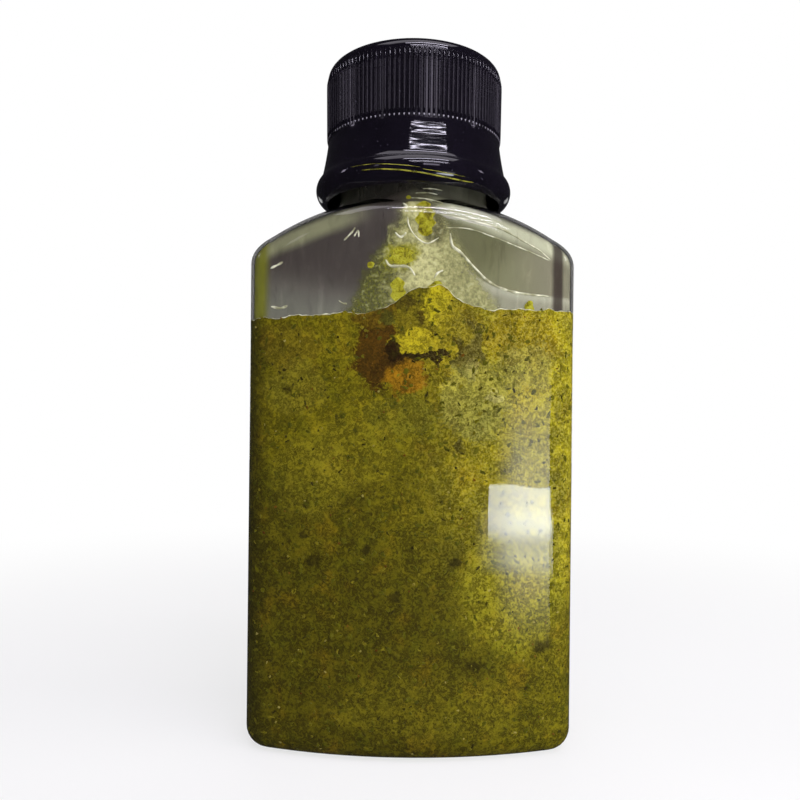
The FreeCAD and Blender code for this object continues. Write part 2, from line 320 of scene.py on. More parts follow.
bottle_rings = outside_rings()
for turn in quarter(3):
    radius = BORE_RADIUS + RIM_ROUND * (1 - math.sin(turn))
    bottle_rings.append(round_ring(radius, RIM_Z - RIM_ROUND * (1 - math.cos(turn))))
bottle_rings += [
    round_ring(BORE_RADIUS, RING_FOOT_Z),
    round_ring(NECK_RADIUS - NECK_WALL, RING_FOOT_Z - 2 * NECK_WALL),
]
for tilt in np.linspace(FAN_TOP_ANGLE, 0, SHOULDER_ROWS):
    bottle_rings.append(fan_ring(tilt, WALL, NECK_RADIUS - NECK_WALL))
bottle_rings += inside_rings(WALL, BASE_WALL)
bottle_foot = (0, 0, PUSH_UP - GATE_HEIGHT)
bottle_floor = (0, 0, PUSH_UP + BASE_WALL)
bottle = modelled("clear_bottle", [net(bottle_rings, bottle_foot, bottle_floor)])


class Signal:
    """One output of a node. Arithmetic on it adds Math nodes to its tree."""

    def __init__(self, tree, socket):
        self.tree = tree
        self.socket = socket

    def other(self, name):
        """Another output of the same node."""
        return Signal(self.tree, self.socket.node.outputs[name])

    def math(self, operation, *values):
        return self.tree.node("ShaderNodeMath", {"operation": operation}, dict(enumerate(values)))

    def __add__(self, other):
        return self.math("ADD", self, other)

    __radd__ = __add__

    def __sub__(self, other):
        return self.math("SUBTRACT", self, other)

    def __rsub__(self, other):
        return self.math("SUBTRACT", other, self)

    def __mul__(self, other):
        return self.math("MULTIPLY", self, other)

    __rmul__ = __mul__


class Tree:
    """A node tree, of a material or of Geometry Nodes."""

    def __init__(self, made):
        self.made = made

    def node(self, kind, settings=None, sockets=None, output=0):
        """Adds a node, its settings first, then its sockets' values or links; gives one output."""
        added = self.made.nodes.new(kind)
        for name, value in (settings or {}).items():
            if name == "stops":
                self.set_stops(added.color_ramp, value)
            else:
                setattr(added, name, value)
        for name, value in (sockets or {}).items():
            if isinstance(value, Signal):
                self.made.links.new(value.socket, added.inputs[name])
            else:
                added.inputs[name].default_value = value
        return Signal(self, added.outputs[output]) if added.outputs else None

    def set_stops(self, ramp, stops):
        while len(ramp.elements) < len(stops):
            ramp.elements.new(1.0)
        for element, (place, colour) in zip(ramp.elements, stops):
            element.position = place
            element.color = (*colour, 1.0)


def new_finish(name):
    """A material, its empty tree and the place of each point on the object."""
    material = bpy.data.materials.new(name)
    material.use_nodes = True
    material.node_tree.nodes.clear()
    tree = Tree(material.node_tree)
    return material, tree, tree.node("ShaderNodeTexCoord", output="Object")


def principled(tree, sockets):
    return tree.node("ShaderNodeBsdfPrincipled", sockets=sockets)


def show(surface):
    """Sends a shader to its material's output."""
    surface.tree.node("ShaderNodeOutputMaterial", sockets={"Surface": surface})


def noise(place, scale, detail=2.0, roughness=0.5, distortion=0.0, output="Fac"):
    """Noise with a scale in features per metre."""
    sockets = {
        "Vector": place,
        "Scale": scale,
        "Detail": detail,
        "Roughness": roughness,
        "Distortion": distortion,
    }
    return place.tree.node("ShaderNodeTexNoise", {}, sockets, output)


def bumped(height, distance, strength):
    sockets = {"Height": height, "Distance": distance, "Strength": strength}
    return height.tree.node("ShaderNodeBump", {}, sockets)


def let_lamps_through(shader, tint):
    """Clear plastic that bends what is seen through it and lets lamps light what it holds."""
    tree = shader.tree
    lamp_ray = tree.node("ShaderNodeLightPath", output="Is Shadow Ray")
    soft_ray = tree.node("ShaderNodeLightPath", output="Is Diffuse Ray")
    either = lamp_ray.math("MAXIMUM", lamp_ray, soft_ray)
    open_shader = tree.node("ShaderNodeBsdfTransparent", sockets={"Color": (*tint, 1.0)})
    return tree.node("ShaderNodeMixShader", sockets={0: either, 1: shader, 2: open_shader})


pet_finish, tree, place = new_finish("clear_pet")
waves = noise(place, 55.0, detail=1.0)
grain = noise(place, 2300.0, detail=2.0, roughness=0.7)
pet = principled(
    tree,
    {
        "Base Color": (0.86, 0.87, 0.82, 1.0),
        "Roughness": 0.015,
        "IOR": 1.55,
        "Transmission Weight": 1.0,
        "Normal": bumped(waves + grain * 0.006, 0.0006, 0.25),
    },
)
show(let_lamps_through(pet, (0.93, 0.95, 0.9)))
bottle.data.materials.append(pet_finish)
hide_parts("bottle")
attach(bottle, "root")

# --- cap ----------------------------------------------------------------------------
# The cap is moulded in black polypropylene: a drum with a rounded top, a skirt that
# flares out below it and a rolled lip at the skirt's foot.
cap_low, cap_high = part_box("cap")
CAP_TOP_Z = cap_high.z / MM
CAP_FOOT_Z = cap_low.z / MM
LIP_BULGE = 0.03
BEAD_RADIUS = min(cap_high.x, cap_high.y) / MM - LIP_BULGE
CAP_TOP_RADIUS = 2.8
CAP_DRUM_RADIUS = 20.7
CAP_DRAFT = 0.2
CAP_WALL = 1.3
BEAD_HEIGHT = 6.0
BEAD_RISE = 2.7
BEAD_OUT = 1.3
BEAD_FOOT_IN = 0.45
FLARE_HEIGHT = 8.2
FLARE_HOLLOW = 0.12
CAP_COLUMNS = 240

FLARE_RADIUS = BEAD_RADIUS - BEAD_OUT
WAIST_RADIUS = CAP_DRUM_RADIUS - CAP_DRAFT
BEAD_TOP_Z = CAP_FOOT_Z + BEAD_HEIGHT
FLARE_TOP_Z = BEAD_TOP_Z + FLARE_HEIGHT


def arc_points(start, through, end, count):
    """Points of the arc through three points, without the first."""
    (ax, ay), (bx, by), (cx, cy) = start, through, end
    twice = 2 * (ax * (by - cy) + bx * (cy - ay) + cx * (ay - by))
    a2 = ax * ax + ay * ay
    b2 = bx * bx + by * by
    c2 = cx * cx + cy * cy
    mid_x = (a2 * (by - cy) + b2 * (cy - ay) + c2 * (ay - by)) / twice
    mid_y = (a2 * (cx - bx) + b2 * (ax - cx) + c2 * (bx - ax)) / twice
    radius = math.hypot(ax - mid_x, ay - mid_y)
    angles = np.unwrap([math.atan2(y - mid_y, x - mid_x) for x, y in (start, through, end)])
    steps = np.linspace(angles[0], angles[2], count + 1)[1:]
    return [(mid_x + radius * math.cos(t), mid_y + radius * math.sin(t)) for t in steps]


def turned_rings(profile, columns):
    """Rings turned about the axis from a profile of radius and height."""
    angles = np.arange(columns) * 2 * math.pi / columns
    return [ring_at(r * np.cos(angles), r * np.sin(angles), z) for r, z in profile]


skirt_in = FLARE_RADIUS - CAP_WALL
bore = CAP_DRUM_RADIUS - CAP_WALL
cap_profile = [(bore * share, RIM_Z) for share in (0.3, 0.7)]
cap_profile += [(bore, RIM_Z), (bore, FLARE_TOP_Z), (skirt_in, RING_TOP_Z), (skirt_in, CAP_FOOT_Z)]
foot = (FLARE_RADIUS - BEAD_FOOT_IN, CAP_FOOT_Z)
bead_top = (FLARE_RADIUS, BEAD_TOP_Z)
waist = (WAIST_RADIUS, FLARE_TOP_Z)
flare_middle = ((WAIST_RADIUS + FLARE_RADIUS) / 2 - FLARE_HOLLOW, BEAD_TOP_Z + FLARE_HEIGHT / 2)
bead_profile = [foot, *arc_points(foot, (BEAD_RADIUS, CAP_FOOT_Z + BEAD_RISE), bead_top, 16)]
cap_profile += bead_profile
cap_profile += arc_points(bead_top, flare_middle, waist, 8)
shoulder_z = CAP_TOP_Z - CAP_TOP_RADIUS
drum_height = shoulder_z - FLARE_TOP_Z
for share in np.linspace(0, 1, 6)[1:]:
    cap_profile.append((WAIST_RADIUS + CAP_DRAFT * share, FLARE_TOP_Z + drum_height * share))
for turn in quarter(8)[1:]:
    radius = CAP_DRUM_RADIUS - CAP_TOP_RADIUS * (1 - math.cos(turn))
    cap_profile.append((radius, shoulder_z + CAP_TOP_RADIUS * math.sin(turn)))
cap_profile += [(CAP_DRUM_RADIUS * share, CAP_TOP_Z) for share in (0.7, 0.5, 0.25)]
cap_rings = turned_rings(cap_profile, CAP_COLUMNS)
cap = modelled("screw_cap", [net(cap_rings, (0, 0, RIM_Z), (0, 0, CAP_TOP_Z))])


def stepped(value, low, high):
    """0 below low, 1 above high, smooth between. With low above high it falls."""
    sockets = {"Value": value, "From Min": low, "From Max": high}
    return value.tree.node("ShaderNodeMapRange", {"interpolation_type": "SMOOTHSTEP"}, sockets)


def blended(factor, below, above):
    """Mix of two colours, each a plain colour or a signal."""
    below = below if isinstance(below, Signal) else (*below, 1.0)
    above = above if isinstance(above, Signal) else (*above, 1.0)
    settings = {"data_type": "RGBA"}
    return factor.tree.node("ShaderNodeMix", settings, {0: factor, 6: below, 7: above}, output=2)


def layered(colour, *layers):
    """Lays tints over a colour one after another, each given as a mask and a tint."""
    for mask, tint in layers:
        colour = blended(mask, colour, tint)
    return colour


def vector_math(operation, first, second=(0.0, 0.0, 0.0), output="Vector"):
    sockets = {0: first, 1: second}
    return first.tree.node("ShaderNodeVectorMath", {"operation": operation}, sockets, output)


def scaled(vector, share):
    """A colour or a place times a number."""
    sockets = {0: vector, "Scale": share}
    return vector.tree.node("ShaderNodeVectorMath", {"operation": "SCALE"}, sockets)


def stretched(place, scale):
    """A place with features per metre of its own on each axis, for what runs one way."""
    return place.tree.node("ShaderNodeMapping", sockets={"Vector": place, "Scale": scale})


def millimetres(place, axis):
    """How far a place lies along an axis."""
    return place.tree.node("ShaderNodeSeparateXYZ", sockets={0: place}, output=axis) * (1 / MM)


cap_finish, tree, place = new_finish("black_polypropylene")
handling = noise(place, 160.0, detail=3.0)
flow_lines = noise(stretched(place, (30.0, 30.0, 1100.0)), 1.0, detail=1.0)
grain = noise(place, 2600.0, detail=1.0)
dust = noise(place, 1500.0, detail=2.0, roughness=0.7)
height = millimetres(place, "Z")
radius = vector_math("LENGTH", vector_math("MULTIPLY", place, (1.0, 1.0, 0.0)), output="Value")
# how far a point stands proud of the drum tells the ribs' crests from the valleys between
on_drum = stepped(height, FLARE_TOP_Z, FLARE_TOP_Z + 0.3)
proud = radius * (1 / MM) - WAIST_RADIUS - (height - FLARE_TOP_Z) * (CAP_DRAFT / drum_height)
crest = stepped(proud, 0.10, 0.18) * on_drum
valley = stepped(proud, 0.10, 0.05) * on_drum * stepped(height, shoulder_z + 0.3, shoulder_z)
top_edge = stepped(height, CAP_TOP_Z - 1.5, CAP_TOP_Z - 0.6)
rib_end_highlight = stepped(height, FLARE_TOP_Z + 0.95, FLARE_TOP_Z + 0.7) * crest
rib_end_highlight = rib_end_highlight * stepped(height, FLARE_TOP_Z + 0.25, FLARE_TOP_Z + 0.4)
black = layered(
    blended(handling, (0.0020, 0.0016, 0.0032), (0.007, 0.0055, 0.010)),
    # specks of dust, and a painted highlight on the ribs' lower ends
    (stepped(dust, 0.71, 0.77) * 0.6, (0.18, 0.165, 0.22)),
    (rib_end_highlight * stepped(handling, 0.3, 0.5), (0.40, 0.38, 0.44)),
)
relief = flow_lines * 0.4 + grain * (0.02 + crest * 0.26 + top_edge * 0.4)
polypropylene = principled(
    tree,
    {
        "Base Color": black,
        "Roughness": 0.03 + handling * 0.06 + valley * 0.12,
        "IOR": 1.49,
        "Normal": bumped(relief, 0.0002, 0.3),
    },
)
show(polypropylene)
cap.data.materials.append(cap_finish)
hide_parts("cap")
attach(cap, "root")

# --- cap ribs -----------------------------------------------------------------------
# The grip of the cap is 120 rounded ribs that run up the drum and fade out at both
# ends. They are moulded in one with the cap, and lean in with its draft.
RIB_COUNT = 120
RIB_RADIUS = 0.36
RIB_LENGTH = 15.2
RIB_SINK = 0.06
RIB_STEPS = 15
RIB_SIDES = 12


def new_tree(name, inputs):
    """A Geometry Nodes tree with a geometry input, named inputs and a geometry output."""
    group = bpy.data.node_groups.new(name, "GeometryNodeTree")
    interface = group.interface
    interface.new_socket("Geometry", in_out="INPUT", socket_type="NodeSocketGeometry")
    for label, kind in inputs.items():
        interface.new_socket(label, in_out="INPUT", socket_type=kind)
    interface.new_socket("Geometry", in_out="OUTPUT", socket_type="NodeSocketGeometry")
    tree = Tree(group)
    given = group.nodes.new("NodeGroupInput")
    return tree, {socket.name: Signal(tree, socket) for socket in given.outputs if socket.name}


def grown(name, host_mesh, tree, values):
    """Runs a Geometry Nodes tree on a mesh and gives the result as a plain mesh object."""
    host = placed(name + "_host", host_mesh)
    modifier = host.modifiers.new("grow", "NODES")
    modifier.node_group = tree.made
    for item in tree.made.interface.items_tree:
        if item.in_out == "INPUT" and item.name in values:
            modifier[item.identifier] = values[item.name]
    graph = bpy.context.evaluated_depsgraph_get()
    mesh = bpy.data.meshes.new_from_object(host.evaluated_get(graph), depsgraph=graph)
    mesh.name = name
    host.modifiers.remove(modifier)
    bpy.data.objects.remove(host)
    mesh.polygons.foreach_set("use_smooth", [True] * len(mesh.polygons))
    mesh.update()
    return placed(name, mesh)


tree, given = new_tree(
    "rib_ring",
    {
        "Count": "NodeSocketInt",
        "Drum radius": "NodeSocketFloat",
        "Foot height": "NodeSocketFloat",
        "Length": "NodeSocketFloat",
        "Rib radius": "NodeSocketFloat",
        "Lean": "NodeSocketFloat",
        "Material": "NodeSocketMaterial",
    },
)
top = tree.node("ShaderNodeCombineXYZ", sockets={"Z": given["Length"]})
spine = tree.node("GeometryNodeCurvePrimitiveLine", sockets={"End": top})
spine = tree.node("GeometryNodeResampleCurve", sockets={"Curve": spine, "Count": RIB_STEPS})
along = tree.node("GeometryNodeSplineParameter")
from_middle = along.math("ABSOLUTE", (along - 0.5) * 2.0)
power = from_middle.math("POWER", from_middle, 14.0)
fade = power.math("SQRT", 1.0 - power * 0.93)
spine = tree.node("GeometryNodeSetCurveRadius", sockets={"Curve": spine, "Radius": fade})
section = tree.node(
    "GeometryNodeCurvePrimitiveCircle",
    sockets={"Resolution": RIB_SIDES, "Radius": given["Rib radius"]},
)
rib = tree.node(
    "GeometryNodeCurveToMesh",
    sockets={"Curve": spine, "Profile Curve": section, "Scale": fade, "Fill Caps": True},
)
wheel = tree.node(
    "GeometryNodeMeshCircle",
    sockets={"Vertices": given["Count"], "Radius": given["Drum radius"]},
)
lift = tree.node("ShaderNodeCombineXYZ", sockets={"Z": given["Foot height"]})
wheel = tree.node("GeometryNodeTransform", sockets={"Geometry": wheel, "Translation": lift})
index = tree.node("GeometryNodeInputIndex")
turn = index * (2 * math.pi / RIB_COUNT)
facing = tree.node("ShaderNodeCombineXYZ", sockets={"Y": given["Lean"], "Z": turn})
ribs = tree.node(
    "GeometryNodeInstanceOnPoints",
    sockets={"Points": wheel, "Instance": rib, "Rotation": facing},
)
ribs = tree.node("GeometryNodeRealizeInstances", sockets={"Geometry": ribs})
ribs = tree.node("GeometryNodeSetMaterial", sockets={"Geometry": ribs, "Material": given["Material"]})
tree.node("NodeGroupOutput", sockets={"Geometry": ribs})
cap_ribs = grown(
    "cap_ribs",
    bpy.data.meshes.new("rib_host"),
    tree,
    {
        "Count": RIB_COUNT,
        "Drum radius": (WAIST_RADIUS - RIB_SINK) * MM,
        "Foot height": FLARE_TOP_Z * MM,
        "Length": RIB_LENGTH * MM,
        "Rib radius": RIB_RADIUS * MM,
        "Lean": math.atan2(CAP_DRAFT, RIB_LENGTH),
        "Material": cap_finish,
    },
)
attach(cap_ribs, "root")

# --- paste --------------------------------------------------------------------------
# The bottle holds a stiff paste of chopped herbs in oil. It wets the wall all round, so
# its skin lies just inside the plastic, and a spoon left a mound against the front.
PASTE_HEADROOM = 27.3
PASTE_TILT = 0.035
WETTING = 0.2
CREEP = 0.5
PASTE_ROWS = 40
PASTE_STEPS = 56
MOUNDS = (
    # to +X, to -Y from the axis, height, radius
    (4.0, 19.0, 5.4, 5.6),
    (-2.5, 18.5, 2.2, 4.0),
    (9.5, 17.0, 1.4, 5.0),
    (-14.0, 12.0, 1.0, 6.0),
    (20.0, 9.0, 0.8, 8.0),
    (3.0, 2.0, -3.0, 8.0),
    (-22.0, -3.0, 1.2, 7.0),
    (14.0, -8.0, 1.5, 7.0),
)


def paste_height(x, y):
    """Height of the paste's top: a tilted level with the mound, lumps and small waves."""
    height = SHOULDER_Z - PASTE_HEADROOM + PASTE_TILT * x
    for mound_x, mound_y, rise, radius in MOUNDS:
        apart = np.hypot(x - mound_x, y + mound_y) / radius
        height = height + rise * np.exp(-(apart**2.4))
    height = height + 0.3 * np.sin(0.9 * x + 1.3 * np.sin(0.4 * y)) * np.cos(0.8 * y + 0.5)
    return height + 0.2 * np.sin(2.1 * x + 0.7 * y) * np.sin(1.7 * y - 0.9 * x)


def paste_rings():
    """Rings of the paste from the base's middle up the wall and in over its top."""
    inset = WALL - WETTING
    up_the_wall = WALL_ROWS - 2
    rings = inside_rings(inset, BASE_WALL - WETTING)[::-1][:-up_the_wall]
    wall_x, wall_y = plan_ring(ANGLES, inset)
    contact = paste_height(wall_x, wall_y) + CREEP
    start = rings[-1][:, 2]
    for row in range(1, PASTE_ROWS + 1):
        share = row / PASTE_ROWS
        rings.append(ring_at(wall_x, wall_y, start + (contact - start) * share))
    for step_in in (0.25, 0.6, 1.1):
        x, y = plan_ring(ANGLES, WALL + step_in)
        rings.append(ring_at(x, y, paste_height(x, y) + CREEP * math.exp(-3.0 * step_in)))
    for share in np.linspace(1, 0, PASTE_STEPS)[1:-1]:
        top_x = x * share
        top_y = y * share
        rings.append(ring_at(top_x, top_y, paste_height(top_x, top_y)))
    return rings


paste_floor = (0, 0, PUSH_UP + BASE_WALL - WETTING)
paste_peak = (0, 0, float(paste_height(0.0, 0.0)))
paste = modelled("herb_paste", [net(paste_rings(), paste_floor, paste_peak)], sharp_angle=80)


def blob(place, centre, radii, ragged, edge=0.35):
    """1 inside an ellipsoid with a ragged edge, 0 outside it. Sizes in millimetres."""
    offset = vector_math("SUBTRACT", place, tuple(c * MM for c in centre))
    offset = vector_math("MULTIPLY", offset, tuple(1 / (r * MM) for r in radii))
    length = vector_math("LENGTH", offset, output="Value")
    return stepped(length + ragged, 1 + edge, 1 - edge)


PASTE_SPOTS = (
    # centre, half sizes, strength, colour
    # next: a red-brown pocket at the mound's left, darkened as painted shade of an air pocket against
    # the wall
    ((-7.5, -20.3, 88.5), (5.4, 9.0, 8.0), 0.92, (0.062, 0.024, 0.002)),
    ((-8.0, -20.3, 97.0), (5.0, 9.0, 3.0), 0.8, (0.120, 0.070, 0.004)),
    ((12.4, -20.0, 89.5), (3.0, 5.0, 6.5), 0.8, (0.075, 0.060, 0.012)),
    ((13.4, -20.0, 85.6), (1.5, 5.0, 2.0), 0.7, (0.300, 0.240, 0.060)),
    ((5.2, -20.0, 98.5), (3.4, 8.0, 5.4), 0.9, (0.400, 0.330, 0.008)),
    ((0.4, -20.0, 95.0), (3.6, 8.0, 4.2), 0.6, (0.150, 0.115, 0.006)),
    ((0.6, -20.0, 90.6), (5.0, 8.0, 2.3), 0.92, (0.400, 0.320, 0.010)),
    ((8.6, -20.0, 94.0), (4.0, 8.0, 3.6), 0.8, (0.260, 0.205, 0.008)),
    ((7.2, -20.0, 90.2), (3.4, 8.0, 2.0), 0.85, (0.300, 0.235, 0.008)),
    ((-5.2, -20.0, 95.4), (1.8, 8.0, 1.2), 0.7, (0.080, 0.085, 0.010)),
    # next two: painted shade of the crevice under the yellow lump
    ((2.6, -20.5, 87.7), (6.2, 9.0, 1.1), 0.95, (0.016, 0.006, 0.001)),
    ((-3.6, -20.5, 89.0), (1.3, 9.0, 2.0), 0.95, (0.018, 0.007, 0.001)),
    ((10.0, -20.5, 89.6), (0.8, 6.0, 2.0), 0.8, (0.040, 0.026, 0.003)),
    ((4.2, -20.5, 93.8), (0.5, 6.0, 2.6), 0.7, (0.060, 0.040, 0.002)),
    ((-1.2, -20.5, 83.0), (4.6, 9.0, 3.8), 0.92, (0.250, 0.118, 0.004)),
    ((24.0, -18.0, 92.0), (9.0, 10.0, 6.0), 0.35, (0.330, 0.210, 0.006)),
    ((-27.0, -16.0, 90.0), (7.0, 10.0, 5.0), 0.3, (0.170, 0.110, 0.010)),
    ((-25.0, -17.0, 81.0), (7.0, 10.0, 6.0), 0.3, (0.270, 0.225, 0.020)),
    ((-13.0, -20.0, 66.0), (10.0, 9.0, 8.0), 0.25, (0.240, 0.200, 0.012)),
    ((2.0, -20.5, 60.0), (8.0, 9.0, 6.0), 0.35, (0.095, 0.080, 0.003)),
    ((14.0, -20.0, 78.0), (7.5, 9.0, 8.5), 0.45, (0.300, 0.290, 0.060)),
    ((25.0, -18.0, 86.0), (7.0, 10.0, 5.0), 0.35, (0.290, 0.280, 0.060)),
    ((-2.0, -20.0, 75.0), (8.0, 9.0, 4.0), 0.35, (0.110, 0.112, 0.012)),
    ((18.0, -19.5, 79.4), (1.7, 6.0, 1.3), 0.6, (0.520, 0.460, 0.150)),
    ((8.2, -20.0, 81.0), (2.2, 6.0, 1.4), 0.5, (0.430, 0.380, 0.050)),
    ((-22.0, -18.0, 61.0), (9.0, 9.0, 9.0), 0.28, (0.270, 0.225, 0.012)),
    ((4.0, -20.0, 12.0), (22.0, 10.0, 7.0), 0.28, (0.200, 0.165, 0.008)),
    ((23.0, -18.0, 38.0), (13.0, 10.0, 15.0), 0.35, (0.350, 0.310, 0.014)),
    ((-1.6, -20.0, 99.6), (2.6, 6.0, 1.6), 0.8, (0.070, 0.050, 0.004)),
    ((2.2, -20.5, 96.0), (0.7, 6.0, 2.4), 0.8, (0.060, 0.036, 0.002)),
)
DARK_BITS = (
    # centre, half sizes
    ((-23.0, -17.0, 48.7), (1.6, 4.0, 1.1)),
    ((-20.8, -17.5, 43.3), (1.9, 4.0, 1.3)),
    ((-22.3, -17.2, 55.3), (1.2, 4.0, 1.1)),
    ((-9.5, -20.0, 46.0), (1.3, 4.0, 1.1)),
    ((-3.0, -20.5, 36.0), (1.2, 4.0, 1.3)),
    ((9.6, -20.0, 43.5), (1.4, 4.0, 0.9)),
    ((-27.0, -15.0, 80.5), (1.4, 4.0, 1.2)),
    ((20.8, -17.5, 63.1), (1.4, 4.0, 0.8)),
    ((10.2, -20.0, 68.5), (1.0, 4.0, 1.6)),
    ((32.0, -13.0, 75.2), (1.1, 4.0, 1.3)),
    ((29.6, -15.5, 24.7), (1.7, 4.0, 1.3)),
    ((14.0, -19.0, 21.0), (1.5, 4.0, 1.2)),
)

paste_finish, tree, place = new_finish("herb_paste")
side = millimetres(place, "X")
height = millimetres(place, "Z")
drift = noise(place, 80.0, detail=4.0, roughness=0.62)
clumps = noise(place, 260.0, detail=4.0, roughness=0.62, distortion=0.6)
shreds = noise(place, 900.0, detail=3.0, roughness=0.65, distortion=1.2)
crumbs = noise(place, 1900.0, detail=2.0, roughness=0.65, distortion=0.8)
browning = noise(place, 150.0, detail=3.0, roughness=0.6)
# paler and yellower to the right: partly the paste's own tone, partly painted light from the lamps at
# the right
right_tone_and_light = stepped(side + (drift - 0.5) * 30.0, 0.0, 42.0)
upper = stepped(height + (drift - 0.5) * 30.0 + side * 0.4, 28.0, 72.0)
colour = layered(
    blended(right_tone_and_light, (0.150, 0.124, 0.0036), (0.355, 0.300, 0.0090)),
    # darker towards the foot
    ((1 - upper) * 0.72, (0.056, 0.046, 0.0018)),
    # pale and dark drifts
    (stepped(drift, 0.52, 0.66) * upper * 0.5, (0.300, 0.225, 0.007)),
    (stepped(drift, 0.48, 0.34) * 0.5, (0.056, 0.048, 0.002)),
    # browner and greener patches
    (stepped(browning, 0.54, 0.68) * 0.35, (0.190, 0.115, 0.004)),
    (stepped(browning, 0.46, 0.34) * 0.35, (0.080, 0.082, 0.003)),
    # shaded left corner
    (stepped(side, -30.0, -35.5) * 0.85, (0.036, 0.031, 0.002)),
)
# the outlines of the spots wander with a warped place, and fray with the shreds
warp = noise(place, 240.0, detail=4.0, roughness=0.66, output="Color")
warp = scaled(vector_math("SUBTRACT", warp, (0.5, 0.5, 0.5)), 9.0 * MM)
shifted = vector_math("ADD", place, warp)
ragged = (shreds - 0.5) * 0.8
for centre, radii, strength, tint in PASTE_SPOTS:
    spot = blob(shifted, centre, radii, ragged, edge=0.12)
    colour = blended(spot * strength, colour, tint)
for centre, radii in DARK_BITS:
    bit = blob(place, centre, radii, ragged + (clumps - 0.5) * 2.0, edge=0.4)
    colour = blended(bit * 0.8, colour, (0.026, 0.020, 0.0014))
# lit and shaded copies of the colour: painted light and shade for the clumps, shreds and crumbs
lift = scaled(colour, 1.8)
dip = scaled(colour, 0.4)
off_middle = shreds - 0.46
worm = stepped(off_middle.math("ABSOLUTE", off_middle), 0.048, 0.014)
worm = worm * stepped(clumps, 0.66, 0.5) * (0.85 - upper * 0.25)
pale_grains = stepped(crumbs, 0.48, 0.62) * stepped(side, -6.0, 26.0) * upper
colour = layered(
    colour,
    # clumps and shreds in painted light and shade, with pale grains at the upper right
    (stepped(clumps, 0.5, 0.68) * 0.34, lift),
    (stepped(clumps, 0.48, 0.32) * 0.55, dip),
    (stepped(shreds, 0.51, 0.64) * 0.5, lift),
    (pale_grains * 0.4, (0.480, 0.430, 0.120)),
    # dark lines and dark bits between the shreds
    (worm, (0.026, 0.020, 0.0010)),
    (stepped(shreds, 0.42, 0.33) * (0.85 - upper * 0.2), (0.024, 0.018, 0.0010)),
    # fine crumbs in painted light and shade
    (stepped(crumbs, 0.46, 0.35) * 0.75, dip),
    (stepped(crumbs, 0.56, 0.68) * 0.4, lift),
)
wet_paste = principled(
    tree,
    {
        "Base Color": colour,
        "Roughness": 0.32 + shreds * 0.3,
        "Specular IOR Level": 0.06,
        "Normal": bumped(clumps * 0.5 + shreds * 0.4, 0.0006, 0.6),
    },
)
show(wet_paste)
paste.data.materials.append(paste_finish)
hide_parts("paste")
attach(paste, "root")

# --- herb flecks ----------------------------------------------------------------------
# Chopped leaf, stalk, nut and pepper press against the plastic from inside. Each kind is
# one piece of flat, tumbled scraps, half sunk in the paste's skin.
FLECK_KINDS = {
    # per square centimetre, length, width, thickness in mm, tones, seed
    "dark_leaf_flecks": (3.5, 1.3, 0.6, 0.24, ((0.020, 0.016, 0.001), (0.060, 0.050, 0.002)), 3),
    "green_leaf_flecks": (6.0, 1.9, 1.0, 0.22, ((0.055, 0.054, 0.002), (0.120, 0.108, 0.004)), 11),
    "yellow_herb_flecks": (3.5, 1.6, 0.9, 0.22, ((0.10, 0.085, 0.004), (0.20, 0.165, 0.008)), 17),
    "pale_nut_crumbs": (0.7, 0.8, 0.6, 0.26, ((0.20, 0.16, 0.02), (0.34, 0.28, 0.07)), 23),
    "pepper_crumbs": (0.8, 0.9, 0.6, 0.24, ((0.07, 0.022, 0.002), (0.16, 0.07, 0.004)), 31),
}

tree, given = new_tree(
    "scattered_scraps",
    {
        "Per square metre": "NodeSocketFloat",
        "Size": "NodeSocketVector",
        "Raggedness": "NodeSocketFloat",
        "Seed": "NodeSocketInt",
        "Material": "NodeSocketMaterial",
    },
)
spread = tree.node(
    "GeometryNodeDistributePointsOnFaces",
    sockets={
        "Mesh": given["Geometry"],
        "Density": given["Per square metre"],
        "Seed": given["Seed"],
    },
)
scrap = tree.node("GeometryNodeMeshIcoSphere", sockets={"Radius": 0.5, "Subdivisions": 2})
spin = tree.node(
    "FunctionNodeRandomValue",
    {"data_type": "FLOAT_VECTOR"},
    {0: (-0.2, -0.2, -math.pi), 1: (0.2, 0.2, math.pi), "Seed": given["Seed"]},
)
facing = tree.node(
    "FunctionNodeRotateRotation",
    {"rotation_space": "LOCAL"},
    {"Rotation": spread.other("Rotation"), "Rotate By": spin},
)
uneven = tree.node(
    "FunctionNodeRandomValue",
    {"data_type": "FLOAT_VECTOR"},
    {0: (0.3, 0.4, 0.7), 1: (1.0, 1.0, 1.0), "Seed": given["Seed"] + 1},
)
size = vector_math("MULTIPLY", uneven, given["Size"])
scraps = tree.node(
    "GeometryNodeInstanceOnPoints",
    sockets={"Points": spread, "Instance": scrap, "Rotation": facing, "Scale": size},
)
tone = tree.node(
    "FunctionNodeRandomValue",
    {"data_type": "FLOAT"},
    {2: 0.0, 3: 1.0, "Seed": given["Seed"] + 2},
    output=1,
)
scraps = tree.node(
    "GeometryNodeStoreNamedAttribute",
    {"data_type": "FLOAT", "domain": "INSTANCE"},
    {"Geometry": scraps, "Name": "tone", "Value": tone},
)
scraps = tree.node("GeometryNodeRealizeInstances", sockets={"Geometry": scraps})
where = tree.node("GeometryNodeInputPosition")
crumple = noise(where, 2200.0, detail=1.0, output="Color")
crumple = scaled(vector_math("SUBTRACT", crumple, (0.5, 0.5, 0.5)), given["Raggedness"])
scraps = tree.node("GeometryNodeSetPosition", sockets={"Geometry": scraps, "Offset": crumple})
scraps = tree.node(
    "GeometryNodeSetMaterial", sockets={"Geometry": scraps, "Material": given["Material"]}
)
tree.node("NodeGroupOutput", sockets={"Geometry": scraps})
scrap_tree = tree

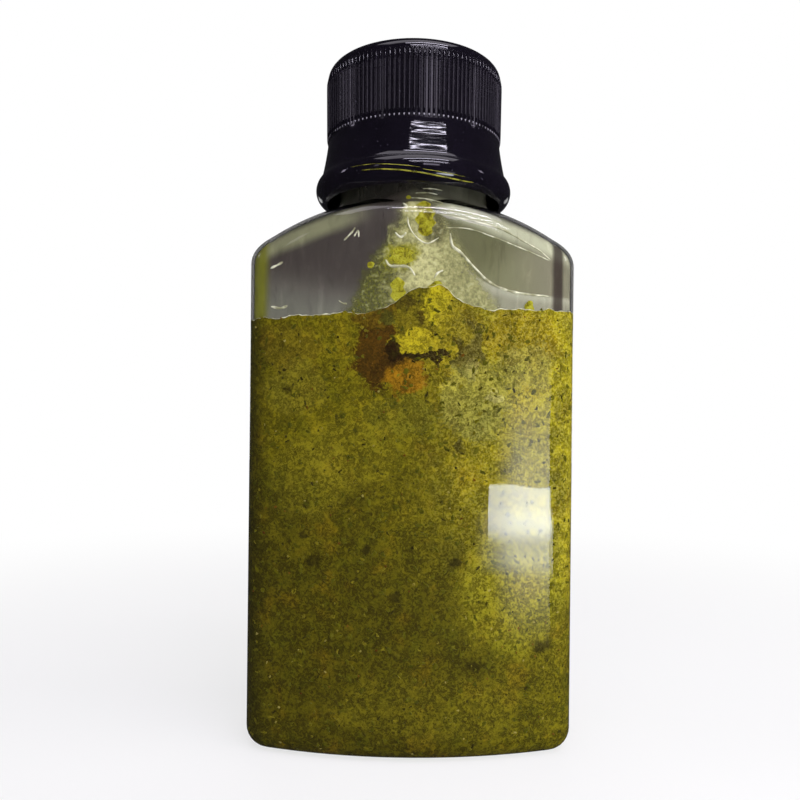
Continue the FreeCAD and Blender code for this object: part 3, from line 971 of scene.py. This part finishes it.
for name, (per_cm2, length, width, thickness, tones, seed) in FLECK_KINDS.items():
    finish, tree, place = new_finish(name)
    fleck_tone = tree.node("ShaderNodeAttribute", {"attribute_name": "tone"}, output="Fac")
    mottle = noise(place, 3000.0, detail=1.0)
    scrap_colour = tree.node(
        "ShaderNodeValToRGB",
        {"stops": [(0.1, tones[0]), (0.9, tones[1])]},
        {"Fac": fleck_tone * 0.8 + mottle * 0.3},
    )
    scrap_sockets = {"Base Color": scrap_colour, "Roughness": 0.4, "Specular IOR Level": 0.06}
    show(principled(tree, scrap_sockets))
    flecks = grown(
        name,
        paste.data,
        scrap_tree,
        {
            "Per square metre": per_cm2 * 1e4,
            "Size": (length * MM, width * MM, thickness * MM),
            "Raggedness": 0.9 * width * MM,
            "Seed": seed,
            "Material": finish,
        },
    )
    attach(flecks, "root")

# --- oil film -------------------------------------------------------------------------
# Above the paste the walls are fogged by a film of oil and fine sediment that has run down
# in streaks: dark at the left, paler at the right and along the shoulder's crown. Its dark
# neck is painted shade of the cap, and its green left corner a painted refraction of the
# paste. It is one thin skin inside the bottle, from the paste up into the neck.
FILM_GAP = 0.06
FILM_THICKNESS = 0.1
FILM_BELOW_PASTE = 3.5
FILM_FOOT_Z = SHOULDER_Z - PASTE_HEADROOM - FILM_BELOW_PASTE
FILM_TOP_Z = RING_FOOT_Z - 3.0 * NECK_WALL
FILM_TILTS = 40


def film_skin(depth):
    """Rings of the bottle's inside from the paste to the neck, at a depth off the wall."""
    inset = WALL + depth
    neck = NECK_RADIUS - NECK_WALL - depth
    rings = [wall_ring(inset, z) for z in np.linspace(FILM_FOOT_Z, FAN_Z, 8)[:-1]]
    rings += [fan_ring(tilt, inset, neck) for tilt in np.linspace(0, FAN_TOP_ANGLE, FILM_TILTS)]
    rings.append(round_ring(neck, FILM_TOP_Z))
    return rings


film_rings = film_skin(FILM_GAP) + film_skin(FILM_GAP + FILM_THICKNESS)[::-1]
film = modelled("oil_film", [net(film_rings, wrapped=True)], sharp_angle=80)
film_finish, tree, place = new_finish("oil_film")
side = millimetres(place, "X")
height = millimetres(place, "Z")
cloud = noise(place, 70.0, detail=3.0)
runs = noise(stretched(place, (360.0, 360.0, 90.0)), 1.0, detail=3.0, roughness=0.6, distortion=0.5)
wander = (cloud - 0.5) * 6.0
# where each zone of the film lies, in millimetres across and up
front = stepped(millimetres(place, "Y"), 4.0, -4.0)
right = stepped(side + wander, -6.0, 8.0)
far_right = stepped(side + wander, 16.0, 32.0)
right_corner = stepped(side, 30.2, 31.4) * stepped(side, 33.6, 32.8) * front
left_corner_painted_refraction = stepped(side, -30.8, -33.0) * front
low = stepped(height + side * 0.15 + wander * 0.5, 103.0, 92.0)
left_dark = stepped(height + side * 0.2 + wander, 97.0, 105.0)
right_dark = stepped(height - side * 0.5 + wander, 94.0, 104.0)
over_line = height - (120.8 - side.math("ABSOLUTE", side) * 0.34)
above_line = stepped(over_line + wander * 0.2, -1.7, 1.0)
neck_painted_shade = stepped(over_line, 2.4, 4.2)
on_band = stepped(side, -7.0, -18.0) + stepped(side, 2.0, 9.0)
on_band = on_band * (0.25 + front * 0.75)
ridge_drop = side.math("EXPONENT", (8.0 - side) * (1 / 6.0)) * 10.5
under_ridge = stepped(height - ridge_drop, 101.5, 100.6) * stepped(side, 7.6, 8.6) * front
at_ridge = under_ridge * stepped(height - ridge_drop, 98.6, 100.8)
crown_colour = blended(right, (0.360, 0.350, 0.225), (0.680, 0.665, 0.530))
colour = layered(
    blended(right, (0.132, 0.110, 0.108), (0.265, 0.255, 0.152)),
    (right_dark * right * 0.8, (0.150, 0.143, 0.074)),
    (far_right * 0.7, (0.320, 0.285, 0.240)),
    (low * (1 - right) * 0.9, (0.270, 0.260, 0.235)),
    (left_dark * (1 - right) * (0.3 + front * 0.5), (0.070, 0.055, 0.055)),
    # thin oil below the long ridge at the right, palest along it
    (under_ridge * 0.85, (0.430, 0.405, 0.340)),
    (at_ridge * 0.8, (0.640, 0.610, 0.520)),
    # the shoulder's crown, the neck above it darkened as painted shade of the cap, and the two corners,
    # the left one green as a painted refraction of the paste
    (above_line * on_band * 0.9, crown_colour),
    (neck_painted_shade * 0.9, (0.040, 0.035, 0.032)),
    (left_corner_painted_refraction * 0.95, (0.225, 0.222, 0.020)),
    (right_corner * 0.9, (0.042, 0.025, 0.025)),
)
colour = layered(
    colour,
    (stepped(runs, 0.52, 0.72) * 0.5, scaled(colour, 1.5)),
    (stepped(runs, 0.46, 0.28) * 0.5, scaled(colour, 0.6)),
)
dense = 0.84 + (cloud - 0.5) * 0.12 + (runs - 0.5) * 0.1
show(principled(tree, {"Base Color": colour, "Roughness": 0.4, "IOR": 1.3, "Alpha": dense}))
film.data.materials.append(film_finish)
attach(film, "root")

# --- smears and drips -------------------------------------------------------------------
# The spoon left thin sauce on the inside of the front wall: a wedge-shaped smear above the
# mound, a few soft lumps of paste in it, and a drip with oil round it under the neck.
SUNK = 0.05
THINNEST = 0.05
SMEAR_STEPS = 90
LUMP_ROWS = 20
LUMP_COLUMNS = 18
SMEAR_SIDES = (
    # height, left edge, right edge
    (96.0, -19.5, 24.0),
    (100.0, -17.0, 21.5),
    (104.0, -15.0, 18.5),
    (108.0, -13.5, 15.0),
    (113.0, -11.0, 11.6),
    (117.0, -7.0, 8.6),
    (121.0, -3.0, 6.4),
)
LUMPS = (
    # to +X, height, half width, half height, thickness
    (2.7, 116.9, 1.9, 3.5, 1.7),
    (2.3, 119.6, 1.4, 1.6, 1.0),
    (-2.3, 109.2, 2.5, 1.8, 0.8),
    (-3.1, 101.9, 1.5, 2.7, 1.6),
    (5.3, 101.7, 1.9, 2.2, 1.8),
    (25.6, 99.0, 1.0, 1.3, 0.8),
    (-9.0, 107.2, 0.9, 0.7, 0.4),
    (-1.0, 122.2, 0.6, 0.5, 0.3),
)


def front_wall(x, z, depth):
    """How far forward the inside of the front wall lies, at a depth off it."""
    inset = WALL + depth
    neck = NECK_RADIUS - NECK_WALL - depth
    return -first_crossing(lambda s: blown_distance(x, -s, z, inset, neck), len(x))


def pressed(low, high, edges_at, thickness_at, sunk, rows, columns):
    """Net of something soft that lies on the inside of the front wall, thinner at its edges."""
    rings = []
    across = np.linspace(-1, 1, columns)
    for share in (1 - np.cos(np.linspace(0, math.pi, rows + 1)[1:-1])) / 2:
        z = np.full(columns, low + (high - low) * share)
        left, right = edges_at(z[0])
        x = (left + right) / 2 + (right - left) / 2 * np.sin(across * math.pi / 2)
        dome = np.sqrt(np.maximum(1 - np.sin(across * math.pi / 2) ** 2, 0.0004))
        dome = dome * math.sqrt(1 - (2 * share - 1) ** 2)
        on_wall = np.stack([x, front_wall(x, z, -sunk), z], axis=1)
        inner_y = front_wall(x, z, THINNEST) + thickness_at(x, z) * dome
        rings.append(np.concatenate([on_wall, np.stack([x, inner_y, z], axis=1)[::-1]]))
    foot_x, foot_y, _ = rings[0][columns // 2]
    head_x, head_y, _ = rings[-1][columns // 2]
    return net(rings, (foot_x, foot_y + sunk, low), (head_x, head_y + sunk, high))


def uneven_at(x, z, scale):
    """Smooth waves between -1 and 1, for outlines and thicknesses."""
    return np.sin(x * scale + 1.7 * np.sin(z * scale * 0.7)) * np.cos(z * scale * 1.3 + 0.6 * x * scale)


def lump_net(centre_x, centre_z, half_width, half_height, thickness):
    def edges_at(z):
        share = (z - centre_z) / half_height
        half = half_width * math.sqrt(max(1 - share**2, 0.01))
        left = centre_x - half * (1 + 0.22 * math.sin(2.3 * z + centre_x))
        return left, centre_x + half * (1 + 0.22 * math.sin(2.9 * z - centre_x))

    def thickness_at(x, z):
        return thickness * (1 + 0.25 * uneven_at(x, z, 2.2))

    low = centre_z - half_height
    high = centre_z + half_height
    return pressed(low, high, edges_at, thickness_at, 2 * SUNK, LUMP_ROWS, LUMP_COLUMNS)


smear_z, smear_left, smear_right = np.array(SMEAR_SIDES).T


def smear_edges(z):
    left = np.interp(z, smear_z, smear_left) + 0.5 * math.sin(1.9 * z)
    return left, np.interp(z, smear_z, smear_right) + 0.35 * math.sin(2.6 * z + 1.0)


def smear_thickness(x, z):
    return 0.45 + 0.16 * uneven_at(x, z, 1.9) + 0.1 * uneven_at(z, x, 4.3)


smear_net = pressed(
    smear_z[0], smear_z[-1], smear_edges, smear_thickness, SUNK, SMEAR_STEPS, SMEAR_STEPS
)
smear = modelled("thin_sauce", [smear_net], sharp_angle=80)
smear_finish, tree, place = new_finish("thin_sauce")
side = millimetres(place, "X")
height = millimetres(place, "Z")
blotches = noise(place, 240.0, detail=4.0, roughness=0.6, distortion=0.6)
specks = noise(place, 1100.0, detail=3.0, roughness=0.65)
uneven = blotches - 0.5
right = stepped(side + uneven * 14.0, -8.0, 5.0)
yolk = blob(place, (-2.3, -20.0, 109.2), (4.0, 8.0, 3.0), uneven * 2.4)
damp = blob(place, (4.0, -20.0, 116.0), (3.0, 8.0, 4.6), uneven * 1.6)
colour = layered(
    # green at the left, pale in the middle, duller at the right
    blended(right, (0.140, 0.140, 0.032), (0.760, 0.720, 0.350)),
    (stepped(side + uneven * 10.0, 1.0, 9.0), (0.390, 0.375, 0.165)),
    # a yellow patch, and the dark oil round the drip
    (yolk * 0.9, (0.350, 0.330, 0.018)),
    (damp * 0.8, (0.070, 0.060, 0.022)),
    # blotches and specks
    (stepped(blotches, 0.5, 0.34) * 0.25, (0.14, 0.135, 0.04)),
    (stepped(specks, 0.54, 0.7) * 0.4, (0.60, 0.58, 0.38)),
    (stepped(specks, 0.46, 0.32) * 0.35, (0.11, 0.105, 0.03)),
)
# the wedge widens downwards, to the left and the right, from under the neck
below_neck = 119.0 - height
inside = stepped(side + 3.0 + below_neck * 0.55 + uneven * 7.0, -1.0, 2.5)
inside = inside * stepped(6.0 + below_neck * 0.66 - side + uneven * 4.0, -1.0, 3.0)
smear_shader = principled(
    tree,
    {
        "Base Color": colour,
        "Roughness": 0.25,
        "IOR": 1.2,
        "Alpha": (0.62 + stepped(specks, 0.4, 0.6) * 0.3) * inside,
        "Normal": bumped(specks * 0.5 + blotches, 0.0007, 0.6),
    },
)
show(smear_shader)
smear.data.materials.append(smear_finish)
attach(smear, "root")

lumps = modelled("paste_lumps", [lump_net(*lump) for lump in LUMPS], sharp_angle=80)
lump_finish, tree, place = new_finish("yellow_paste")
mottle = noise(place, 700.0, detail=4.0, roughness=0.7, distortion=0.8)
colour = tree.node(
    "ShaderNodeValToRGB",
    {
        "stops": [
            (0.30, (0.050, 0.032, 0.001)),
            (0.40, (0.180, 0.150, 0.004)),
            (0.50, (0.380, 0.350, 0.012)),
            (0.66, (0.540, 0.510, 0.045)),
        ]
    },
    {"Fac": mottle},
)
lump_shader = principled(
    tree,
    {
        "Base Color": colour,
        "Roughness": 0.3,
        "Specular IOR Level": 0.2,
        "Normal": bumped(mottle, 0.0012, 0.9),
    },
)
show(lump_shader)
lumps.data.materials.append(lump_finish)
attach(lumps, "root")

# --- oil ridges ---------------------------------------------------------------------------
# Clear oil stands in rounded ridges where a wet edge dried on the wall: round the drip,
# under the smears, along the tide mark at the right and where the paste meets the wall.
# Their pale colour is a painted highlight, for the bright lines the clear oil makes.
RIDGES = (
    # radius in mm, then places to +X and height
    (0.28, (8, 114.2), (8.5, 111.6), (10.4, 110), (13.6, 106.7), (17, 103.7), (22, 102), (30.2, 101.4)),
    (0.15, (5.3, 118.3), (12.6, 117.0), (19.0, 115.5), (24.2, 113.1), (27.6, 111.4), (30.2, 109.5)),
    (0.12, (6.8, 115.3), (11.7, 115.3), (16.5, 114.0), (21.6, 112.3), (25.9, 110.8), (30.0, 109.3)),
    (0.16, (-1.2, 117.6), (-0.8, 115.6), (0.6, 113.4), (3.0, 111.9), (5.6, 113.2)),
    (0.30, (-5.8, 108.4), (-4.6, 107.0), (-1.0, 106.8), (0.6, 104.9)),
    (0.22, (4.6, 104.4), (5.4, 105.6), (6.6, 106.2)),
    (0.20, (-14.8, 112.6), (-13.2, 114.2), (-12.4, 115.3)),
    (0.18, (-12.6, 113.4), (-11.8, 114.6), (-11.6, 113.2)),
    (0.22, (-3.8, 114.2), (-2.6, 113.2), (-1.4, 114.2)),
    (0.24, (-31.2, 107.0), (-29.6, 107.7), (-28.4, 108.3)),
    (0.26, (-31.0, 98.6), (-28.8, 98.2), (-27.2, 98.7)),
    (0.18, (-15.8, 99.6), (-14.9, 99.0), (-14.0, 98.9)),
    (0.16, (-2.2, 120.6), (-1.4, 119.9), (-1.5, 118.9)),
    (0.16, (-0.4, 122.0), (2.2, 121.9), (4.4, 121.4), (6.2, 120.7), (4.8, 119.8)),
    (0.14, (0.5, 123.3), (3.0, 123.5), (5.2, 123.2)),
    (0.12, (2.0, 124.4), (4.2, 124.5), (6.2, 124.3)),
)
RIDGE_STEPS = 12
RIDGE_COLUMNS = 10
CONTACT_RADIUS = 0.2


def smooth_path(places, steps):
    """Points of a smooth curve through a few places."""
    places = np.array([places[0], *places, places[-1]], float)
    path = []
    for i in range(1, len(places) - 2):
        p0, p1, p2, p3 = places[i - 1 : i + 3]
        for t in np.arange(steps) / steps:
            bend = 2 * p0 - 5 * p1 + 4 * p2 - p3
            twist = 3 * p1 - 3 * p2 + p3 - p0
            path.append(0.5 * (2 * p1 + (p2 - p0) * t + bend * t**2 + twist * t**3))
    return np.array([*path, places[-1]])


def tapered(radius, count, blunt):
    """The radius at each point of a bead that thins out at both ends, later the more blunt."""
    share = 2 * np.linspace(0, 1, count) - 1
    return radius * np.sqrt(np.maximum(1 - share**blunt, 0.02))


def bead_rings(line, girth, first, second):
    """Rings round a line, each spanned by its own two directions."""
    turns = np.arange(RIDGE_COLUMNS) * 2 * math.pi / RIDGE_COLUMNS
    rings = []
    for i in range(len(line)):
        around_line = np.outer(np.cos(turns), first[i]) + np.outer(np.sin(turns), second[i])
        rings.append(line[i] + girth[i] * around_line)
    return rings


def ridge_net(radius, *places):
    """Net of a round bead along a path on the inside of the front wall."""
    x, z = smooth_path(places, RIDGE_STEPS).T
    line = np.stack([x, front_wall(x, z, 0.0), z], axis=1)
    ahead = np.gradient(line, axis=0)
    ahead /= np.linalg.norm(ahead, axis=1)[:, None]
    inwards = np.tile([0.0, 1.0, 0.0], (len(line), 1))
    sideways = np.cross(ahead, inwards)
    sideways /= np.linalg.norm(sideways, axis=1)[:, None]
    girth = tapered(radius, len(line), 6) * (1 + 0.25 * np.sin(3.1 * x + 2.3 * z))
    rings = bead_rings(line, girth, inwards, sideways)
    return net(rings, line[0] - 0.3 * radius * ahead[0], line[-1] + 0.3 * radius * ahead[-1])


def contact_net():
    """Net of the bead of oil that stands all round where the paste meets the wall."""
    rings = []
    for turn in np.arange(RIDGE_COLUMNS) * 2 * math.pi / RIDGE_COLUMNS:
        x, y = plan_ring(ANGLES, WALL + CONTACT_RADIUS * math.cos(turn))
        girth = 0.75 + 0.35 * np.sin(0.8 * x + 0.3 * y) * np.cos(0.5 * x)
        girth = girth * (1 - 0.8 * np.exp(-(((x + 1.5) / 12.0) ** 6)))
        z = paste_height(x, y) + CREEP + CONTACT_RADIUS * math.sin(turn) * girth
        rings.append(ring_at(x, y, z))
    return net(rings, wrapped=True)


ridge_nets = [ridge_net(*ridge) for ridge in RIDGES]
ridges = modelled("oil_ridges", [*ridge_nets, contact_net()], sharp_angle=80)
ridge_finish, tree, place = new_finish("clear_oil_painted_highlight")
beading = noise(place, 500.0)
# pale: a painted highlight standing for the light the clear oil bends
colour = tree.node(
    "ShaderNodeValToRGB",
    {"stops": [(0.35, (0.48, 0.46, 0.28)), (0.6, (0.84, 0.82, 0.66))]},
    {"Fac": beading},
)
oil_and_highlight_shader = principled(
    tree,
    {
        "Base Color": colour,
        "Roughness": 0.12,
        "IOR": 1.47,
        "Alpha": 0.65 + stepped(beading, 0.4, 0.6) * 0.35,
        "Normal": bumped(beading, 0.0004, 0.5),
    },
)
show(oil_and_highlight_shader)
ridges.data.materials.append(ridge_finish)
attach(ridges, "root")

# --- oil on the cap's lip, coloured as a painted reflection -------------------------------
# A little green oil ran round the rolled lip and dried in thin streaks near its foot. Its yellow-green
# is a painted reflection of the lit paste in the lip's lower edge.
LIP_STREAKS = (
    # radius in mm, then azimuths in degrees from the front with heights
    (0.22, (-34, 127.6), (-18, 127.3), (-2, 126.7), (14, 126.0), (28, 125.7), (36, 125.8)),
    (0.10, (-38.0, 128.6), (-24.0, 128.5), (-10.0, 128.0), (6.0, 127.3)),
    (0.08, (4.0, 127.1), (16.0, 126.7), (30.0, 126.4)),
)
lip_radii, lip_heights = np.array(bead_profile).T


def streak_net(radius, *places):
    """Net of a flat bead of oil along a path on the rolled lip."""
    azimuth, z = smooth_path(places, RIDGE_STEPS).T
    turn = np.radians(azimuth)
    reach = np.interp(z, lip_heights, lip_radii) - 0.35 * radius
    outwards = np.stack([np.sin(turn), -np.cos(turn), 0 * turn], axis=1)
    upwards = np.tile([0.0, 0.0, 1.0], (len(z), 1))
    line = outwards * reach[:, None] + upwards * z[:, None]
    rings = bead_rings(line, tapered(radius, len(line), 4), 0.5 * outwards, upwards)
    return net(rings[::-1], line[-1], line[0])


streaks = modelled("lip_streaks_painted_reflection", [streak_net(*streak) for streak in LIP_STREAKS], sharp_angle=80)
streak_finish, tree, place = new_finish("green_oil_painted_reflection")
beading = noise(place, 420.0)
# yellow-green: a painted reflection of the paste in the lip's lower edge
colour = blended(stepped(beading, 0.35, 0.6), (0.150, 0.145, 0.012), (0.380, 0.365, 0.045))
alpha = 0.45 + beading * 0.6
show(principled(tree, {"Base Color": colour, "Roughness": 0.15, "IOR": 1.47, "Alpha": alpha}))
streaks.data.materials.append(streak_finish)
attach(streaks, "root")

# --- studio ---------------------------------------------------------------------------
# A pale floor that runs up into a white backdrop, and a camera level with the paste. Broad
# panels fill the front, sides and back; slats, strips and a window make the gloss in front,
# two strips that behind.
FLOOR_FRONT = 900.0
FLOOR_HALF_WIDTH = 1400.0
SWEEP_RADIUS = 350.0
BACK_Y = 1000.0
BACK_HEIGHT = 1600.0
MIDDLE = (0.0, 0.0, 0.07)

sweep_profile = [(-FLOOR_FRONT, 0.0)]
for turn in quarter(12):
    y = BACK_Y - SWEEP_RADIUS + SWEEP_RADIUS * math.sin(turn)
    sweep_profile.append((y, SWEEP_RADIUS * (1 - math.cos(turn))))
sweep_profile.append((BACK_Y, BACK_HEIGHT))
sweep_points = [(x, y, z) for y, z in sweep_profile for x in (-FLOOR_HALF_WIDTH, FLOOR_HALF_WIDTH)]
sweep_faces = [(2 * i, 2 * i + 1, 2 * i + 3, 2 * i + 2) for i in range(len(sweep_profile) - 1)]
backdrop = modelled("backdrop", [(np.array(sweep_points), sweep_faces)])
backdrop_finish, tree, place = new_finish("white_sweep")
matt = tree.node("ShaderNodeBsdfDiffuse", sockets={"Color": (0.82, 0.82, 0.81, 1.0)})
glow = tree.node("ShaderNodeEmission", sockets={"Color": (1.0, 1.0, 1.0, 1.0), "Strength": 1.0})
far = stepped(vector_math("LENGTH", place, output="Value"), 0.08, 0.35)
seen = tree.node("ShaderNodeLightPath", output="Is Camera Ray")
whiten = seen * (0.66 + far * 0.34)
show(tree.node("ShaderNodeMixShader", sockets={0: whiten, 1: matt, 2: glow}))
backdrop.data.materials.append(backdrop_finish)
backdrop.visible_glossy = False

world = bpy.data.worlds.new("room")
bpy.context.scene.world = world
world.use_nodes = True
world.node_tree.nodes.clear()
tree = Tree(world.node_tree)
dim = tree.node("ShaderNodeBackground", sockets={"Color": (0.9, 0.87, 1.0, 1.0), "Strength": 0.03})
white = tree.node("ShaderNodeBackground", sockets={"Color": (1.0, 1.0, 1.0, 1.0), "Strength": 1.0})
seen = tree.node("ShaderNodeLightPath", output="Is Camera Ray")
room = tree.node("ShaderNodeMixShader", sockets={0: seen, 1: dim, 2: white})
tree.node("ShaderNodeOutputWorld", sockets={"Surface": room})


def soft_lamp(name, place, aim, size, radiance, colour=(1.0, 1.0, 1.0), gloss=True, fades=()):
    """A rectangular lamp, its brightness given per area. Fades are the shares of its width
    and height over which one side, the foot and the top grow dim."""
    width, height = size
    light = bpy.data.lights.new(name, "AREA")
    light.shape = "RECTANGLE"
    light.size = width
    light.size_y = height
    light.energy = radiance * math.pi * width * height
    light.color = colour
    if fades:
        side_fade, foot_fade, top_fade = fades
        light.use_nodes = True
        light.node_tree.nodes.clear()
        tree = Tree(light.node_tree)
        place_on_it = tree.node("ShaderNodeNewGeometry", output="Parametric")
        across = tree.node("ShaderNodeSeparateXYZ", sockets={0: place_on_it})
        up = across.other("Y")
        strength = stepped(across, 0.0, side_fade) * stepped(up, 0.0, foot_fade)
        strength = strength * stepped(up, 1.0, 1.0 - top_fade)
        glow = tree.node("ShaderNodeEmission", sockets={"Strength": strength})
        tree.node("ShaderNodeOutputLight", sockets={"Surface": glow})
    lamp = placed(name, light)
    lamp.location = place
    lamp.rotation_euler = (Vector(aim) - Vector(place)).to_track_quat("-Z", "Y").to_euler()
    lamp.visible_camera = False
    lamp.visible_transmission = False
    lamp.visible_glossy = gloss


def around(azimuth, elevation, distance):
    """A place seen from the object's middle, azimuth 0 being in front and 90 to the right."""
    a = math.radians(azimuth)
    e = math.radians(elevation)
    flat = distance * math.cos(e)
    return (flat * math.sin(a), -flat * math.cos(a), MIDDLE[2] + distance * math.sin(e))


soft_lamp("fill_front", around(-5, 22, 1.0), MIDDLE, (1.1, 0.8), 1.1, gloss=False)
soft_lamp("fill_right", around(72, 18, 0.8), MIDDLE, (0.5, 0.5), 4.4, (1.0, 0.98, 0.94), gloss=False)
soft_lamp("fill_left", around(-95, 20, 0.8), MIDDLE, (0.5, 0.5), 1.2, gloss=False)
soft_lamp("fill_back", around(180, 35, 0.9), MIDDLE, (0.8, 0.5), 1.4, gloss=False)

GLOSS_DISTANCE = 0.7
VIOLET_WHITE = (0.88, 0.83, 1.0)
SLATS = (
    # elevation, length, thickness, radiance
    (38.0, 0.40, 0.006, 22.0),
    (41.6, 0.46, 0.010, 36.0),
    (47.0, 0.46, 0.010, 36.0),
    (62.0, 0.46, 0.030, 26.0),
)
for elevation, length, thickness, radiance in SLATS:
    place = around(20, elevation, GLOSS_DISTANCE)
    soft_lamp("slat", place, MIDDLE, (length, thickness), radiance, VIOLET_WHITE)
soft_lamp("top", around(10, 78, GLOSS_DISTANCE), MIDDLE, (0.7, 0.3), 1.9, (0.95, 0.9, 1.0))
RIB_LIGHTS = (
    # azimuth, width, radiance
    (-88, 0.06, 4.0),
    (-42, 0.06, 1.2),
    (20, 0.20, 3.6),
    (84, 0.06, 4.0),
)
for azimuth, width, radiance in RIB_LIGHTS:
    place = around(azimuth, 26.5, GLOSS_DISTANCE)
    soft_lamp("rib_light", place, MIDDLE, (width, 0.11), radiance, (0.88, 0.8, 1.0))
for azimuth in (150, 208):
    soft_lamp("rear_strip", around(azimuth, 2, GLOSS_DISTANCE), MIDDLE, (0.08, 0.15), 1.2)
PALE_SKY = (0.86, 0.92, 1.0)
WINDOW_PLACE = (0.106, -0.145, 0.033)
WINDOW_AIM = (0.021, -0.018, 0.052)
SILL_PLACE = (0.100, -0.149, 0.022)
BLIND_PLACE = (0.106, -0.145, 0.042)
BLIND_AIM = (0.021, -0.018, 0.055)
soft_lamp("window", WINDOW_PLACE, WINDOW_AIM, (0.064, 0.026), 9.0, PALE_SKY, fades=(0.01, 0.45, 0.05))
soft_lamp("sill", SILL_PLACE, WINDOW_AIM, (0.085, 0.030), 3.4, PALE_SKY, fades=(0.5, 0.3, 0.3))
soft_lamp("blind", BLIND_PLACE, BLIND_AIM, (0.060, 0.130), 3.4, fades=(0.6, 0.4, 0.5))

EYE_HEIGHT = 0.0757
EYE_DISTANCE = 0.1822
SENSOR_WIDTH = 36.0
LENS = 33.93
FRAME_SHIFT = (-0.01375, 0.015)
ROLL = math.radians(0.6)
eye = bpy.data.cameras.new("eye")
eye.sensor_width = SENSOR_WIDTH
eye.lens = LENS
eye.clip_start = 0.01
eye.shift_x, eye.shift_y = FRAME_SHIFT
camera = placed("eye", eye)
camera.location = (0.0, -EYE_DISTANCE, EYE_HEIGHT)
camera.rotation_euler = (math.radians(90), -ROLL, 0.0)
bpy.context.scene.camera = camera
bpy.context.scene.view_settings.view_transform = "Standard"
